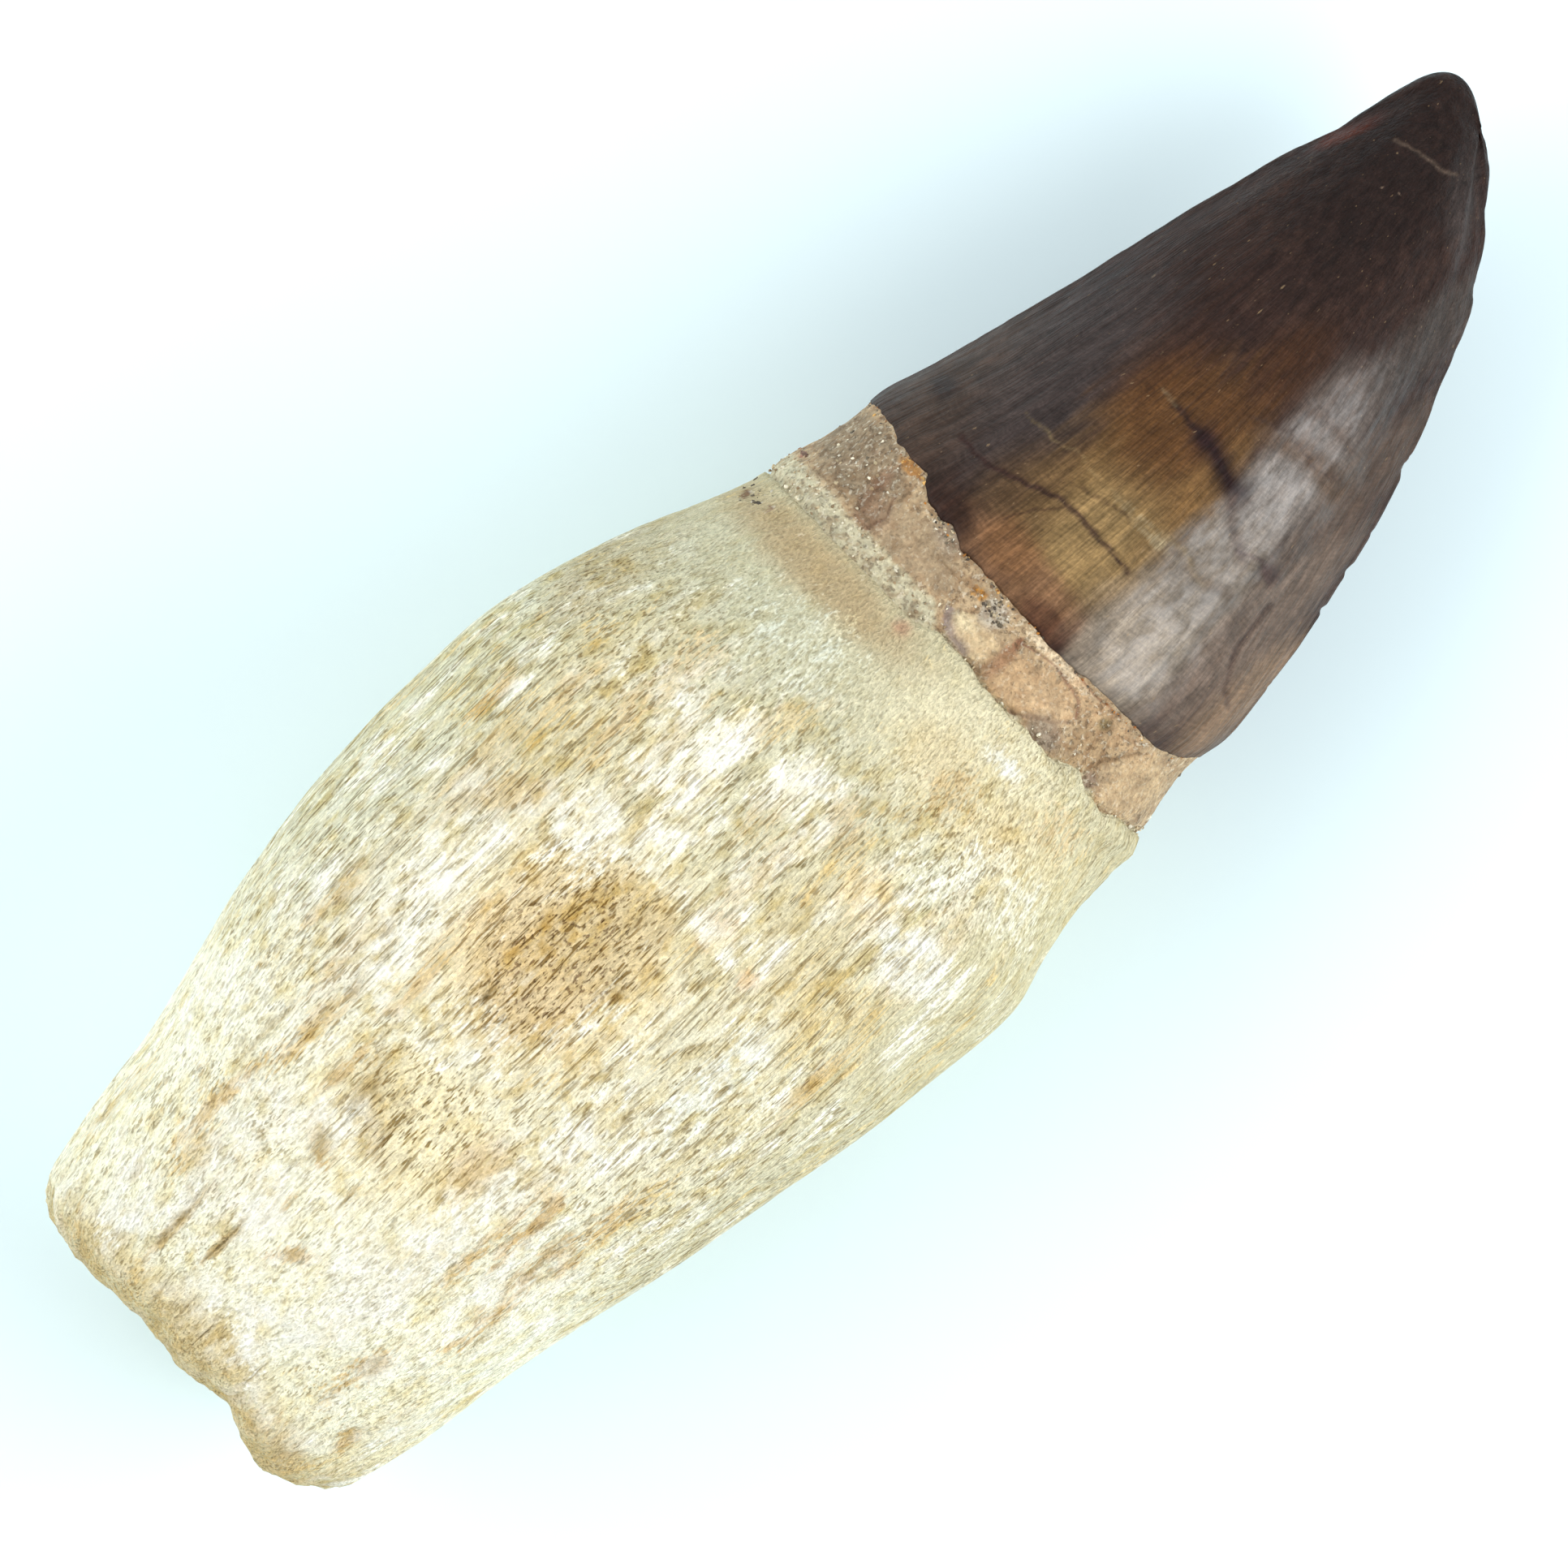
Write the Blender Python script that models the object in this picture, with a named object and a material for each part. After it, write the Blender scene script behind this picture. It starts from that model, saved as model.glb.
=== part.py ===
"""Fossil mosasaur tooth, lying on the flat of its root with the crown towards +X.

The tooth is one solid: a fibrous root, the neck where the enamel begins, and the crown.
Sizes here are in millimetres, the scene is in metres and +Z is up. The origin is on the
floor, under the middle of the tooth's box.
"""

import math
from typing import NamedTuple

import bmesh
import bpy
import numpy as np
from mathutils import Vector, noise

MM = 0.001


class Section(NamedTuple):
    """One cross-section of the tooth, square to X."""

    along: float  # distance from the root's end
    rear: float  # reach of the hollow rear edge, towards +Y
    front: float  # reach of the bowed front edge, towards -Y
    keel: float  # height of the underside over the floor
    crest: float  # height of the upper side over the floor
    squareness: float  # 2 is an ellipse, and more is boxier


SECTIONS = (
    Section(4.5, 15.6, 14.6, 2.6, 28.4, 2.5),
    Section(10.0, 16.5, 15.7, 1.0, 30.8, 2.6),
    Section(15.7, 17.2, 16.5, 0.0, 32.4, 2.6),
    Section(21.3, 18.7, 17.5, -0.5, 33.6, 2.6),
    Section(32.0, 21.3, 19.7, -0.8, 35.2, 2.55),
    Section(43.7, 22.1, 21.8, -0.9, 36.0, 2.5),
    Section(53.0, 21.8, 22.9, -0.8, 35.8, 2.45),
    Section(57.0, 21.1, 23.4, -0.65, 35.4, 2.4),
    Section(59.3, 20.4, 23.5, -0.5, 35.0, 2.4),
    Section(62.5, 19.3, 22.5, -0.1, 34.2, 2.35),
    Section(66.1, 18.0, 21.6, 0.5, 33.1, 2.3),
    Section(71.7, 15.9, 20.9, 1.9, 31.0, 2.2),
    Section(76.3, 14.5, 20.3, 2.9, 29.6, 2.15),
    Section(79.5, 13.9, 20.1, 3.4, 29.2, 2.1),
    Section(83.0, 12.8, 19.9, 3.7, 28.7, 2.05),
    Section(88.5, 11.1, 19.1, 4.1, 27.8, 2.0),
    Section(94.1, 9.7, 18.0, 4.5, 26.6, 1.95),
    Section(99.7, 8.3, 16.7, 5.0, 25.0, 1.9),
    Section(105.3, 7.1, 15.0, 5.7, 23.2, 1.9),
    Section(110.9, 5.8, 12.8, 6.6, 20.9, 1.9),
    Section(116.5, 4.5, 10.1, 7.7, 18.1, 1.9),
    Section(121.0, 3.2, 6.6, 8.7, 15.6, 1.9),
    Section(124.3, 2.6, 3.4, 9.6, 13.6, 2.0),
)
BODY_START = SECTIONS[0].along
BODY_END = SECTIONS[-1].along

# The rounded end of the root and the blunt tip, which close the tooth past its first and last section.
END_DEPTH = 3.6
END_SQUARENESS = 2.6
END_STEPS = 6
END_HOLLOW = 1.4  # depth of the pulp hollow in the middle of the root's end
END_LUMP = 0.7
TIP_LENGTH = 2.2
TIP_BLUNTNESS = 0.6
TIP_RISE = 1.2  # how far the apex stands towards the rear edge

# The broken lobes of the root's end: places across it, and how far the upper rim stands out there.
LOBE_PLACES = (-14.0, -12.8, -11.0, -9.0, -7.2, -5.2, -3.0, -0.5, 2.0, 5.0, 8.0, 14.0)
LOBE_REACHES = (0.0, 0.3, 1.3, 1.5, 1.1, -0.5, -0.4, 0.6, -0.5, 0.1, 0.2, 0.0)
TIP_SCALES = (0.86, 0.66, 0.43, 0.21)

# Facets: points in a ring, and the ring spacing on the root, at the neck, on the crown and near the tip.
AROUND = 64
NECK_START = 70.0
NECK_END = 84.0
TIP_START = 106.0
ROOT_SPACING = 2.5
NECK_SPACING = 1.1
CROWN_SPACING = 2.2
TIP_SPACING = 1.2

# The enamel's lower rim bows towards the root on both broad faces, and the neck band keeps beside it.
ENAMEL_RIM = 81.2
ENAMEL_BOW = 3.1
ENAMEL_STEP = 0.3
BAND_WIDTH = 5.0
BAND_SINK = 0.35
ROOT_LEDGE = 72.3
LEDGE_GROOVE = 0.5
LEDGE_WIDTH = 0.8

# The cutting edges stand proud along the crown, and a shallow flute runs beside the front one.
CARINA_START = 84.0
CARINA_HEIGHT = 0.5
CARINA_TURN = math.radians(7)
FLUTE_TURN = math.radians(150)
FLUTE_SPREAD = math.radians(11)
FLUTE_DEPTH = 0.35

# Blunt ridges between the crown's facets, by their turn from the rear edge over the upper side.
RIDGE_TURNS = tuple(math.radians(turn) for turn in (58, 106, 136, 218, 262, 308))
RIDGE_SPREAD = math.radians(9)
RIDGE_HEIGHT = 0.22

# Relief of the weathered bone: broad lumps, and flutes that run with the fibres.
LUMP_SIZE = 12.0
LUMP_HEIGHT = 0.55
KNOB_SIZE = 5.0
KNOB_HEIGHT = 0.22
RIB_LENGTH = 45.0
RIB_WIDTH = 6.5
RIB_HEIGHT = 0.35
CROWN_SHARE = 0.3  # how much of that relief the crown keeps


class Pit(NamedTuple):
    """A resorption pit in the upper face of the root."""

    along: float
    across: float
    half_length: float
    half_width: float
    depth: float


PITS = (
    Pit(40.5, 1.5, 9.5, 8.0, 1.5),
    Pit(24.0, 0.3, 7.5, 7.0, 0.9),
)


class Chip(NamedTuple):
    """A nick in a cutting edge: side is 1 for the rear edge and -1 for the front one."""

    along: float
    side: int
    half_length: float
    depth: float


CHIPS = (
    Chip(117.3, 1, 1.9, 0.15),
    Chip(104.8, -1, 1.6, -0.2),
    Chip(109.6, -1, 1.6, -0.1),
    Chip(113.2, -1, 1.3, 0.0),
    Chip(117.2, -1, 1.2, 0.25),
    Chip(120.6, -1, 1.1, 0.1),
)


def smooth_curve(knots, values, where):
    """Values at where of the cubic curve through the knots, its slopes set by the neighbours."""
    slopes = np.gradient(values, knots)
    low = np.clip(np.searchsorted(knots, where, side="right") - 1, 0, len(knots) - 2)
    span = knots[low + 1] - knots[low]
    t = (where - knots[low]) / span
    ease = t * t * (3 - 2 * t)
    rise_low = t * (1 - t) ** 2 * span * slopes[low]
    rise_high = t * t * (t - 1) * span * slopes[low + 1]
    return values[low] * (1 - ease) + values[low + 1] * ease + rise_low + rise_high


def signed_power(base, exponent):
    """base raised to a power, keeping its sign."""
    return np.sign(base) * np.abs(base) ** exponent


def bell(distance):
    """A smooth bump of height 1 that fades out at a distance of about 2."""
    return np.exp(-distance * distance)


def fade(value, start, end):
    """0 before start and 1 after end, with an eased change between them."""
    t = np.clip((value - start) / (end - start), 0, 1)
    return t * t * (3 - 2 * t)


def spaced(start, end, spacing):
    """Even steps from start up to, but not including, end."""
    return np.linspace(start, end, round((end - start) / spacing), endpoint=False)


def ring_plan():
    """Each ring's place along X, the place its section is read at and its scale, root's end first."""
    turns = np.linspace(90, 0, END_STEPS, endpoint=False)[1:]
    power = 2 / END_SQUARENESS
    end_scales = np.cos(np.radians(turns)) ** power
    end_along = BODY_START - END_DEPTH * np.sin(np.radians(turns)) ** power
    body = np.concatenate(
        [
            spaced(BODY_START, NECK_START, ROOT_SPACING),
            spaced(NECK_START, NECK_END, NECK_SPACING),
            spaced(NECK_END, TIP_START, CROWN_SPACING),
            spaced(TIP_START, BODY_END, TIP_SPACING),
            [BODY_END],
        ]
    )
    tip_scales = np.array(TIP_SCALES)
    tip_along = BODY_END + TIP_LENGTH * (1 - tip_scales ** (1 / TIP_BLUNTNESS))
    along = np.concatenate([end_along, body, tip_along])
    scales = np.concatenate([end_scales, np.ones(len(body)), tip_scales])
    return along, np.clip(along, BODY_START, BODY_END), scales


def ring_points(along, read_at, scales, turns):
    """Points of the plain form, as an array of rings by turns by X, Y and Z, in millimetres."""
    columns = np.array(SECTIONS).T
    rear, front, keel, crest, squareness = (
        smooth_curve(columns[0], column, read_at) for column in columns[1:]
    )
    power = (2 / squareness)[:, None]
    tip_share = np.clip((along - BODY_END) / TIP_LENGTH, 0, 1)
    middle = (rear - front) / 2 + TIP_RISE * tip_share
    across = (scales * (rear + front) / 2)[:, None] * signed_power(np.cos(turns), power)
    upward = (scales * (crest - keel) / 2)[:, None] * signed_power(np.sin(turns), power)
    points = np.empty((len(along), len(turns), 3))
    points[..., 0] = along[:, None]
    points[..., 1] = middle[:, None] + across
    points[..., 2] = ((crest + keel) / 2)[:, None] + upward
    return points


def enamel_rim(turn):
    """How far along X the enamel begins, at a turn round the tooth."""
    return ENAMEL_RIM - ENAMEL_BOW * np.abs(np.sin(turn)) ** 0.8


def neck_relief(along, turn):
    """The step up to the enamel, the sunken band below it and the groove at the root's ledge."""
    rim = enamel_rim(turn)
    step = ENAMEL_STEP * fade(along, rim - 0.5, rim + 0.8) * (1 - fade(along, rim + 3, rim + 14))
    band = BAND_SINK * fade(along, rim - BAND_WIDTH - 1, rim - BAND_WIDTH + 1)
    band *= 1 - fade(along, rim - 0.5, rim + 0.8)
    groove = LEDGE_GROOVE * bell((along - ROOT_LEDGE) / LEDGE_WIDTH) * (0.6 + 0.4 * np.cos(turn))
    return step - band - groove


def crown_relief(along, turn):
    """The cutting edges with their nicks, the flute beside the front edge and the facets' ridges."""
    relief = -FLUTE_DEPTH * bell((turn - FLUTE_TURN) / FLUTE_SPREAD)
    for side, middle in ((1, 0.0), (-1, math.pi)):
        off_edge = (turn - middle + math.pi) % (2 * math.pi) - math.pi
        height = CARINA_HEIGHT
        for chip in CHIPS:
            if chip.side == side:
                height -= (CARINA_HEIGHT + chip.depth) * bell((along - chip.along) / chip.half_length)
        relief += height * bell(off_edge / CARINA_TURN)
    for ridge in RIDGE_TURNS:
        relief += RIDGE_HEIGHT * bell((turn - ridge) / RIDGE_SPREAD)
    on_crown = fade(along, CARINA_START, CARINA_START + 8) * (1 - fade(along, BODY_END - 1, BODY_END + 1))
    return on_crown * relief


def pit_relief(point, normal):
    """The resorption pits, which are open to the upper side alone."""
    sink = 0.0
    for pit in PITS:
        off_x = (point.x - pit.along) / pit.half_length
        off_y = (point.y - pit.across) / pit.half_width
        sink += pit.depth * (1 - fade(math.hypot(off_x, off_y), 0.25, 1.1))
    return -sink * max(0.0, normal.z)


def bone_relief(point):
    """Lumps all over, and long flutes that run with the fibres of the root."""
    lumps = LUMP_HEIGHT * noise.noise(point / LUMP_SIZE)
    knobs = KNOB_HEIGHT * noise.noise(point / KNOB_SIZE)
    ribs = RIB_HEIGHT * noise.noise(Vector((point.x / RIB_LENGTH, point.y / RIB_WIDTH, point.z / RIB_WIDTH)))
    share = 1 - (1 - CROWN_SHARE) * fade(point.x, ROOT_LEDGE, ENAMEL_RIM)
    return float(share) * (lumps + knobs + ribs)


def end_relief(point, scale):
    """The pulp hollow and the broken lobes of the root's end, as a shift along X."""
    if point.x > BODY_START:
        return 0.0
    hollow = END_HOLLOW * (1 - fade(scale, 0.25, 0.7))
    lobes = END_LUMP * noise.noise(Vector((0, point.y, point.z)) / KNOB_SIZE)
    rim = np.interp(point.y, LOBE_PLACES, LOBE_REACHES) * fade(point.z, 12, 22) * fade(scale, 0.4, 0.8)
    return hollow - (lobes + rim) * (1 - fade(scale, 0.93, 1.0))


def relieve(bm, rings, turns, along, scales):
    """Moves every point of the plain form by the relief at its place."""
    bm.normal_update()
    moves = {}
    for ring, place, scale in zip(rings, along, scales):
        for vert, turn in zip(ring, turns):
            height = bone_relief(vert.co) + pit_relief(vert.co, vert.normal)
            height += float(neck_relief(place, turn) + crown_relief(place, turn)) * scale
            moves[vert] = vert.normal * height + Vector((float(end_relief(vert.co, scale)), 0, 0))
    for vert, move in moves.items():
        vert.co += move


def add_rings(bm, points):
    """The rings of vertices, joined by bands of four-sided faces."""
    rings = [[bm.verts.new(point) for point in ring] for ring in points]
    for low, high in zip(rings, rings[1:]):
        for k in range(AROUND):
            after = (k + 1) % AROUND
            bm.faces.new((low[k], low[after], high[after], high[k]))
    return rings


def close_end(bm, ring, shift, outward):
    """Closes a ring with a fan of triangles round one point, which stands off its middle by shift."""
    middle = sum((vert.co for vert in ring), Vector()) / len(ring) + shift
    hub = bm.verts.new(middle)
    for k in range(AROUND):
        pair = (ring[k], ring[(k + 1) % AROUND])
        bm.faces.new((hub, *pair) if outward > 0 else (hub, *reversed(pair)))


def rest_and_centre(bm):
    """Flattens what lies under the floor to the floor, scales to metres and centres the box on the origin."""
    for vert in bm.verts:
        vert.co.z = max(vert.co.z, 0.0)
    corners = np.array([vert.co for vert in bm.verts])
    middle = (corners.min(axis=0) + corners.max(axis=0)) / 2
    for vert in bm.verts:
        vert.co.x -= middle[0]
        vert.co.y -= middle[1]
        vert.co *= MM
    return middle[0]


def finish_material(name, colour, roughness):
    """A plain Principled material."""
    made = bpy.data.materials.new(name)
    made.use_nodes = True
    shader = made.node_tree.nodes["Principled BSDF"]
    shader.inputs["Base Color"].default_value = (*colour, 1)
    shader.inputs["Roughness"].default_value = roughness
    shader.inputs["Metallic"].default_value = 0
    return made


def paint(bm, middle_x):
    """Gives each face its material's index: 0 for the root, 1 for the neck and 2 for the enamel."""
    for face in bm.faces:
        place = face.calc_center_median() / MM
        along = place.x + middle_x
        tilt = math.asin(max(-1.0, min(1.0, face.normal.z)))
        rim = float(enamel_rim(tilt))
        face.material_index = 2 if along > rim else 1 if along > rim - BAND_WIDTH else 0


def make_tooth():
    """The tooth as one closed mesh object."""
    turns = np.arange(AROUND) * 2 * math.pi / AROUND
    along, read_at, scales = ring_plan()
    bm = bmesh.new()
    rings = add_rings(bm, ring_points(along, read_at, scales, turns))
    relieve(bm, rings, turns, along, scales)
    close_end(bm, rings[0], Vector((END_HOLLOW * 0.2, 0, 0)), outward=-1)
    tip_gap = TIP_LENGTH * TIP_SCALES[-1] ** (1 / TIP_BLUNTNESS)
    close_end(bm, rings[-1], Vector((tip_gap, 0, 0)), outward=1)
    bmesh.ops.recalc_face_normals(bm, faces=bm.faces)
    middle_x = rest_and_centre(bm)
    bm.normal_update()
    paint(bm, middle_x)
    mesh = bpy.data.meshes.new("tooth")
    bm.to_mesh(mesh)
    bm.free()
    mesh.materials.append(finish_material("root_bone", (0.78, 0.66, 0.42), 0.85))
    mesh.materials.append(finish_material("neck_dentine", (0.48, 0.31, 0.14), 0.75))
    mesh.materials.append(finish_material("enamel", (0.055, 0.03, 0.017), 0.3))
    mesh.shade_smooth()
    mesh.set_sharp_from_angle(angle=math.radians(50))
    tooth = bpy.data.objects.new("tooth", mesh)
    bpy.context.scene.collection.objects.link(tooth)
    return tooth


def clear_scene():
    """Removes the startup objects."""
    for old in list(bpy.data.objects):
        bpy.data.objects.remove(old)


clear_scene()
make_tooth()
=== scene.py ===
"""Looks of the fossil mosasaur tooth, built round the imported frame.

The tooth lies with its crown towards +X. Places on it are given in millimetres: along is the
distance from the root's end, and across is the distance from the middle of its box, towards +Y.
"""

from __future__ import annotations

import logging
import math
from dataclasses import dataclass, field
from enum import Enum
from typing import Sequence

import bpy
import numpy as np
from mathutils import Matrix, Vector
from mathutils.bvhtree import BVHTree

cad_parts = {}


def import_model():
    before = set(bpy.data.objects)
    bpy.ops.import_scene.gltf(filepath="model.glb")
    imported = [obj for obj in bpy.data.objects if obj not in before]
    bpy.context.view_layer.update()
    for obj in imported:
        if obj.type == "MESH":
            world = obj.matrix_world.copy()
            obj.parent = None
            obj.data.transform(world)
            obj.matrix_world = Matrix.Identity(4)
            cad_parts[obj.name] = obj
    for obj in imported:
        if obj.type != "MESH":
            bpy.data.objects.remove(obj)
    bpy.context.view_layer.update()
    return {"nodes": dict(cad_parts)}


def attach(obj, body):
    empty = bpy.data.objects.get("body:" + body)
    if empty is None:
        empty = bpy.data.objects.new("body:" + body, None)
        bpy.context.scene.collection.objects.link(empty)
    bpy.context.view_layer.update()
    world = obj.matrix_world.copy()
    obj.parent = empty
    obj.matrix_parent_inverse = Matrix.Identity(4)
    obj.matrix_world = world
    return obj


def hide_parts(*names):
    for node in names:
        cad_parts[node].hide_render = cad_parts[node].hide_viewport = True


LOG = logging.getLogger("tooth")
MM = 0.001

Colour = tuple[int, int, int]
Path = tuple[tuple[float, float], ...]
Grain = tuple[float, float, float, Colour]
Socket = bpy.types.NodeSocket
CHALK: Colour = (252, 250, 234)


class Edge(Enum):
    """The crown's two cutting edges, with the turn round the tooth at which each one runs."""

    REAR = 0.0
    FRONT = math.pi


class Blend(Enum):
    """How a placed mark mixes with what is under it."""

    SOFT = "an even wash"
    RAGGED = "a stain that breaks up along the fibres"


# ---------------------------------------------------------------- numbers on arrays


def linear(colour: Colour) -> np.ndarray:
    """Changes a display colour of 0 to 255 to scene-linear values."""
    shown = np.array(colour, float) / 255
    return np.where(shown <= 0.04045, shown / 12.92, ((shown + 0.055) / 1.055) ** 2.4)


def fade(value: np.ndarray, start: float, end: float) -> np.ndarray:
    """Goes from 0 at start to 1 at end, with an eased change between them."""
    t = np.clip((value - start) / (end - start), 0, 1)
    return t * t * (3 - 2 * t)


def bell(distance: np.ndarray) -> np.ndarray:
    """A smooth bump of height 1 that is gone at a distance of about 2."""
    return np.exp(-distance * distance)


def path_distance(along: np.ndarray, across: np.ndarray, path: Path) -> np.ndarray:
    """Distance from each place to a path of straight stretches.

    Args:
        along: Places along the tooth.
        across: Places across the tooth.
        path: The path's corners as (along, across).

    Returns:
        The distances, in millimetres.
    """
    nearest = np.full(along.shape, np.inf)
    for (x0, y0), (x1, y1) in zip(path, path[1:]):
        run_x, run_y = x1 - x0, y1 - y0
        share = ((along - x0) * run_x + (across - y0) * run_y) / (run_x**2 + run_y**2)
        share = np.clip(share, 0, 1)
        gap = np.hypot(along - x0 - share * run_x, across - y0 - share * run_y)
        nearest = np.minimum(nearest, gap)
    return nearest


class GradientNoise:
    """Seeded gradient noise in three dimensions, for whole arrays of points."""

    def __init__(self, seed: int) -> None:
        """Draws the table of cells and directions.

        Args:
            seed: Any number; the same one gives the same noise.
        """
        rng = np.random.default_rng(seed)
        self._order = np.tile(rng.permutation(256), 2)
        directions = rng.normal(size=(256, 3))
        self._directions = directions / np.linalg.norm(directions, axis=1, keepdims=True)

    def at(self, points: np.ndarray, size: Sequence[float] = (1.0, 1.0, 1.0)) -> np.ndarray:
        """Reads the noise.

        Args:
            points: Places, with the three coordinates last.
            size: Length of a noise cell along each coordinate.

        Returns:
            Values of about -1 to 1, one for each place.
        """
        spot = points / np.array(size)
        cell = np.floor(spot).astype(int)
        part = spot - cell
        ease = part**3 * (part * (part * 6 - 15) + 10)
        total = np.zeros(spot.shape[:-1])
        for corner in np.ndindex(2, 2, 2):
            index = (cell + corner) & 255
            pick = self._order[self._order[self._order[index[..., 0]] + index[..., 1]] + index[..., 2]]
            lean = np.sum(self._directions[pick] * (part - corner), axis=-1)
            total += lean * np.prod(np.where(corner, ease, 1 - ease), axis=-1)
        return total * 1.6

    def layered(self, points: np.ndarray, size: Sequence[float], layers: int = 3) -> np.ndarray:
        """Adds ever finer and weaker layers of the noise.

        Args:
            points: Places, with the three coordinates last.
            size: Cell size of the first layer.
            layers: How many layers there are.

        Returns:
            Values of about -1 to 1, one for each place.
        """
        total = np.zeros(points.shape[:-1])
        for layer in range(layers):
            total += self.at(points + 31.7 * layer, np.array(size) / 2**layer) / 2**layer
        return total / (2 - 0.5 ** (layers - 1))


# ---------------------------------------------------------------- placed marks


@dataclass(frozen=True)
class Oval:
    """An oval place on the upper side."""

    along: float
    across: float
    half_length: float
    half_width: float

    def off(self, along: np.ndarray, across: np.ndarray) -> np.ndarray:
        """Distance from its middle, with 1 at its border."""
        return np.hypot((along - self.along) / self.half_length, (across - self.across) / self.half_width)


@dataclass(frozen=True)
class Patch(Oval):
    """A stained, bleached or raised spot; lean is its rise across per length."""

    colour: Colour
    strength: float = 0.8
    lift: float = 0.0
    softness: float = 0.65
    lean: float = 0.0
    blend: Blend = Blend.RAGGED


@dataclass(frozen=True)
class Wash(Patch):
    """A patch that mixes in evenly."""

    softness: float = 0.5
    blend: Blend = Blend.SOFT


@dataclass(frozen=True)
class Pit(Oval):
    """A hollow in the bone, most of them longer than wide."""

    depth: float


@dataclass(frozen=True)
class Crack:
    """A crack or scratch over the enamel."""

    path: Path
    width: float
    depth: float
    colour: Colour
    strength: float = 0.8


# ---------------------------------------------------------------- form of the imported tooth


@dataclass(frozen=True)
class FormSizes:
    """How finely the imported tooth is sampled, and how far its facets are smoothed away."""

    root_hub: float = 14.0
    root_sweep: float = 25.0
    tip_hub: float = 117.5
    tip_sweep: float = 11.5
    step: float = 0.5
    turns: int = 256
    smooth_along: float = 1.1
    smooth_turn: float = math.radians(3.2)
    stretch: float = 1.005


class Form:
    """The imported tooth's surface as a smooth table of radii round a centre line.

    A place on it is a station and a turn. Stations are distances along the tooth between the
    two hubs; past a hub, the rays swing from square to the centre line over to its end.
    """

    def __init__(self, node: bpy.types.Object, sizes: FormSizes = FormSizes()) -> None:
        """Samples the node.

        Args:
            node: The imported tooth.
            sizes: The fineness of the samples.
        """
        self.sizes = sizes
        corners = np.empty(len(node.data.vertices) * 3)
        node.data.vertices.foreach_get("co", corners)
        corners = corners.reshape(-1, 3) / MM
        self.start = corners[:, 0].min()
        corners[:, 0] -= self.start
        self.length = corners[:, 0].max()
        self.first = sizes.root_hub - sizes.root_sweep
        self.last = sizes.tip_hub + sizes.tip_sweep
        count = round((self.last - self.first) / sizes.step) + 1
        self._stations = np.linspace(self.first, self.last, count)
        self._lay_centre_line(corners)
        faces = [tuple(face.vertices) for face in node.data.polygons]
        self._cast(BVHTree.FromPolygons([Vector(c) for c in corners], faces))

    def _lay_centre_line(self, corners: np.ndarray) -> None:
        """Finds the middle of the section at each station, level with the cutting edges.

        Args:
            corners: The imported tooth's corners, in millimetres.
        """
        places = np.clip(self._stations, self.sizes.root_hub, self.sizes.tip_hub)
        middle = np.empty((len(places), 2))
        for k, place in enumerate(places):
            near = corners[np.abs(corners[:, 0] - place) < 1.7]
            rear, front = near[near[:, 1].argmax()], near[near[:, 1].argmin()]
            middle[k] = (rear[1:] + front[1:]) / 2
        self._middle = self._smooth(middle, 8.0, 0.0)

    def _cast(self, tree: BVHTree) -> None:
        """Casts a ray for each station and turn, and smooths the radii that they find.

        Args:
            tree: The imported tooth's facets.
        """
        turns = np.arange(self.sizes.turns) * 2 * math.pi / self.sizes.turns
        station, turn = np.meshgrid(self._stations, turns, indexing="ij")
        origin, direction = self._rays(station, turn)
        radii = np.empty(station.shape)
        for index in np.ndindex(station.shape):
            radii[index] = tree.ray_cast(Vector(origin[index]), Vector(direction[index]))[3]
        for end in (0, -1):
            radii[end] = radii[end].mean()
        step = 2 * math.pi / self.sizes.turns
        rows, columns = self.sizes.smooth_along / self.sizes.step, self.sizes.smooth_turn / step
        smooth = self._smooth(radii, rows, columns)
        self._radii = smooth + self._smooth(radii - smooth, rows, columns)

    @staticmethod
    def _smooth(table: np.ndarray, rows: float, columns: float) -> np.ndarray:
        """Smooths a table whose columns run round.

        Args:
            table: The table.
            rows: Spread of the bell over rows.
            columns: Its spread over columns, or 0 for none.

        Returns:
            The smoothed table.
        """
        reach = math.ceil(rows * 3)
        weights = bell(np.arange(-reach, reach + 1) / (rows * math.sqrt(2)))
        padded = np.pad(table, ((reach, reach), (0, 0)), mode="edge")
        total = sum(w * padded[k : k + len(table)] for k, w in enumerate(weights)) / weights.sum()
        if columns:
            reach = math.ceil(columns * 3)
            weights = bell(np.arange(-reach, reach + 1) / (columns * math.sqrt(2)))
            shifts = range(-reach, reach + 1)
            total = sum(w * np.roll(total, k, axis=1) for k, w in zip(shifts, weights)) / weights.sum()
        return total

    def _rays(self, station: np.ndarray, turn: np.ndarray) -> tuple[np.ndarray, np.ndarray]:
        """Aims the rays that a place's radius is measured on.

        Args:
            station: Where along the tooth.
            turn: Where round the tooth.

        Returns:
            The start and the direction of each ray.
        """
        sizes = self.sizes
        swing = np.clip((station - sizes.tip_hub) / sizes.tip_sweep, 0, 1)
        swing = swing - np.clip((sizes.root_hub - station) / sizes.root_sweep, 0, 1)
        swing = swing * math.pi / 2
        origin = np.stack(
            [
                np.clip(station, sizes.root_hub, sizes.tip_hub),
                np.interp(station, self._stations, self._middle[:, 0]),
                np.interp(station, self._stations, self._middle[:, 1]),
            ],
            axis=-1,
        )
        direction = np.stack(
            [np.sin(swing), np.cos(swing) * np.cos(turn), np.cos(swing) * np.sin(turn)], axis=-1
        )
        return origin, direction

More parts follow.
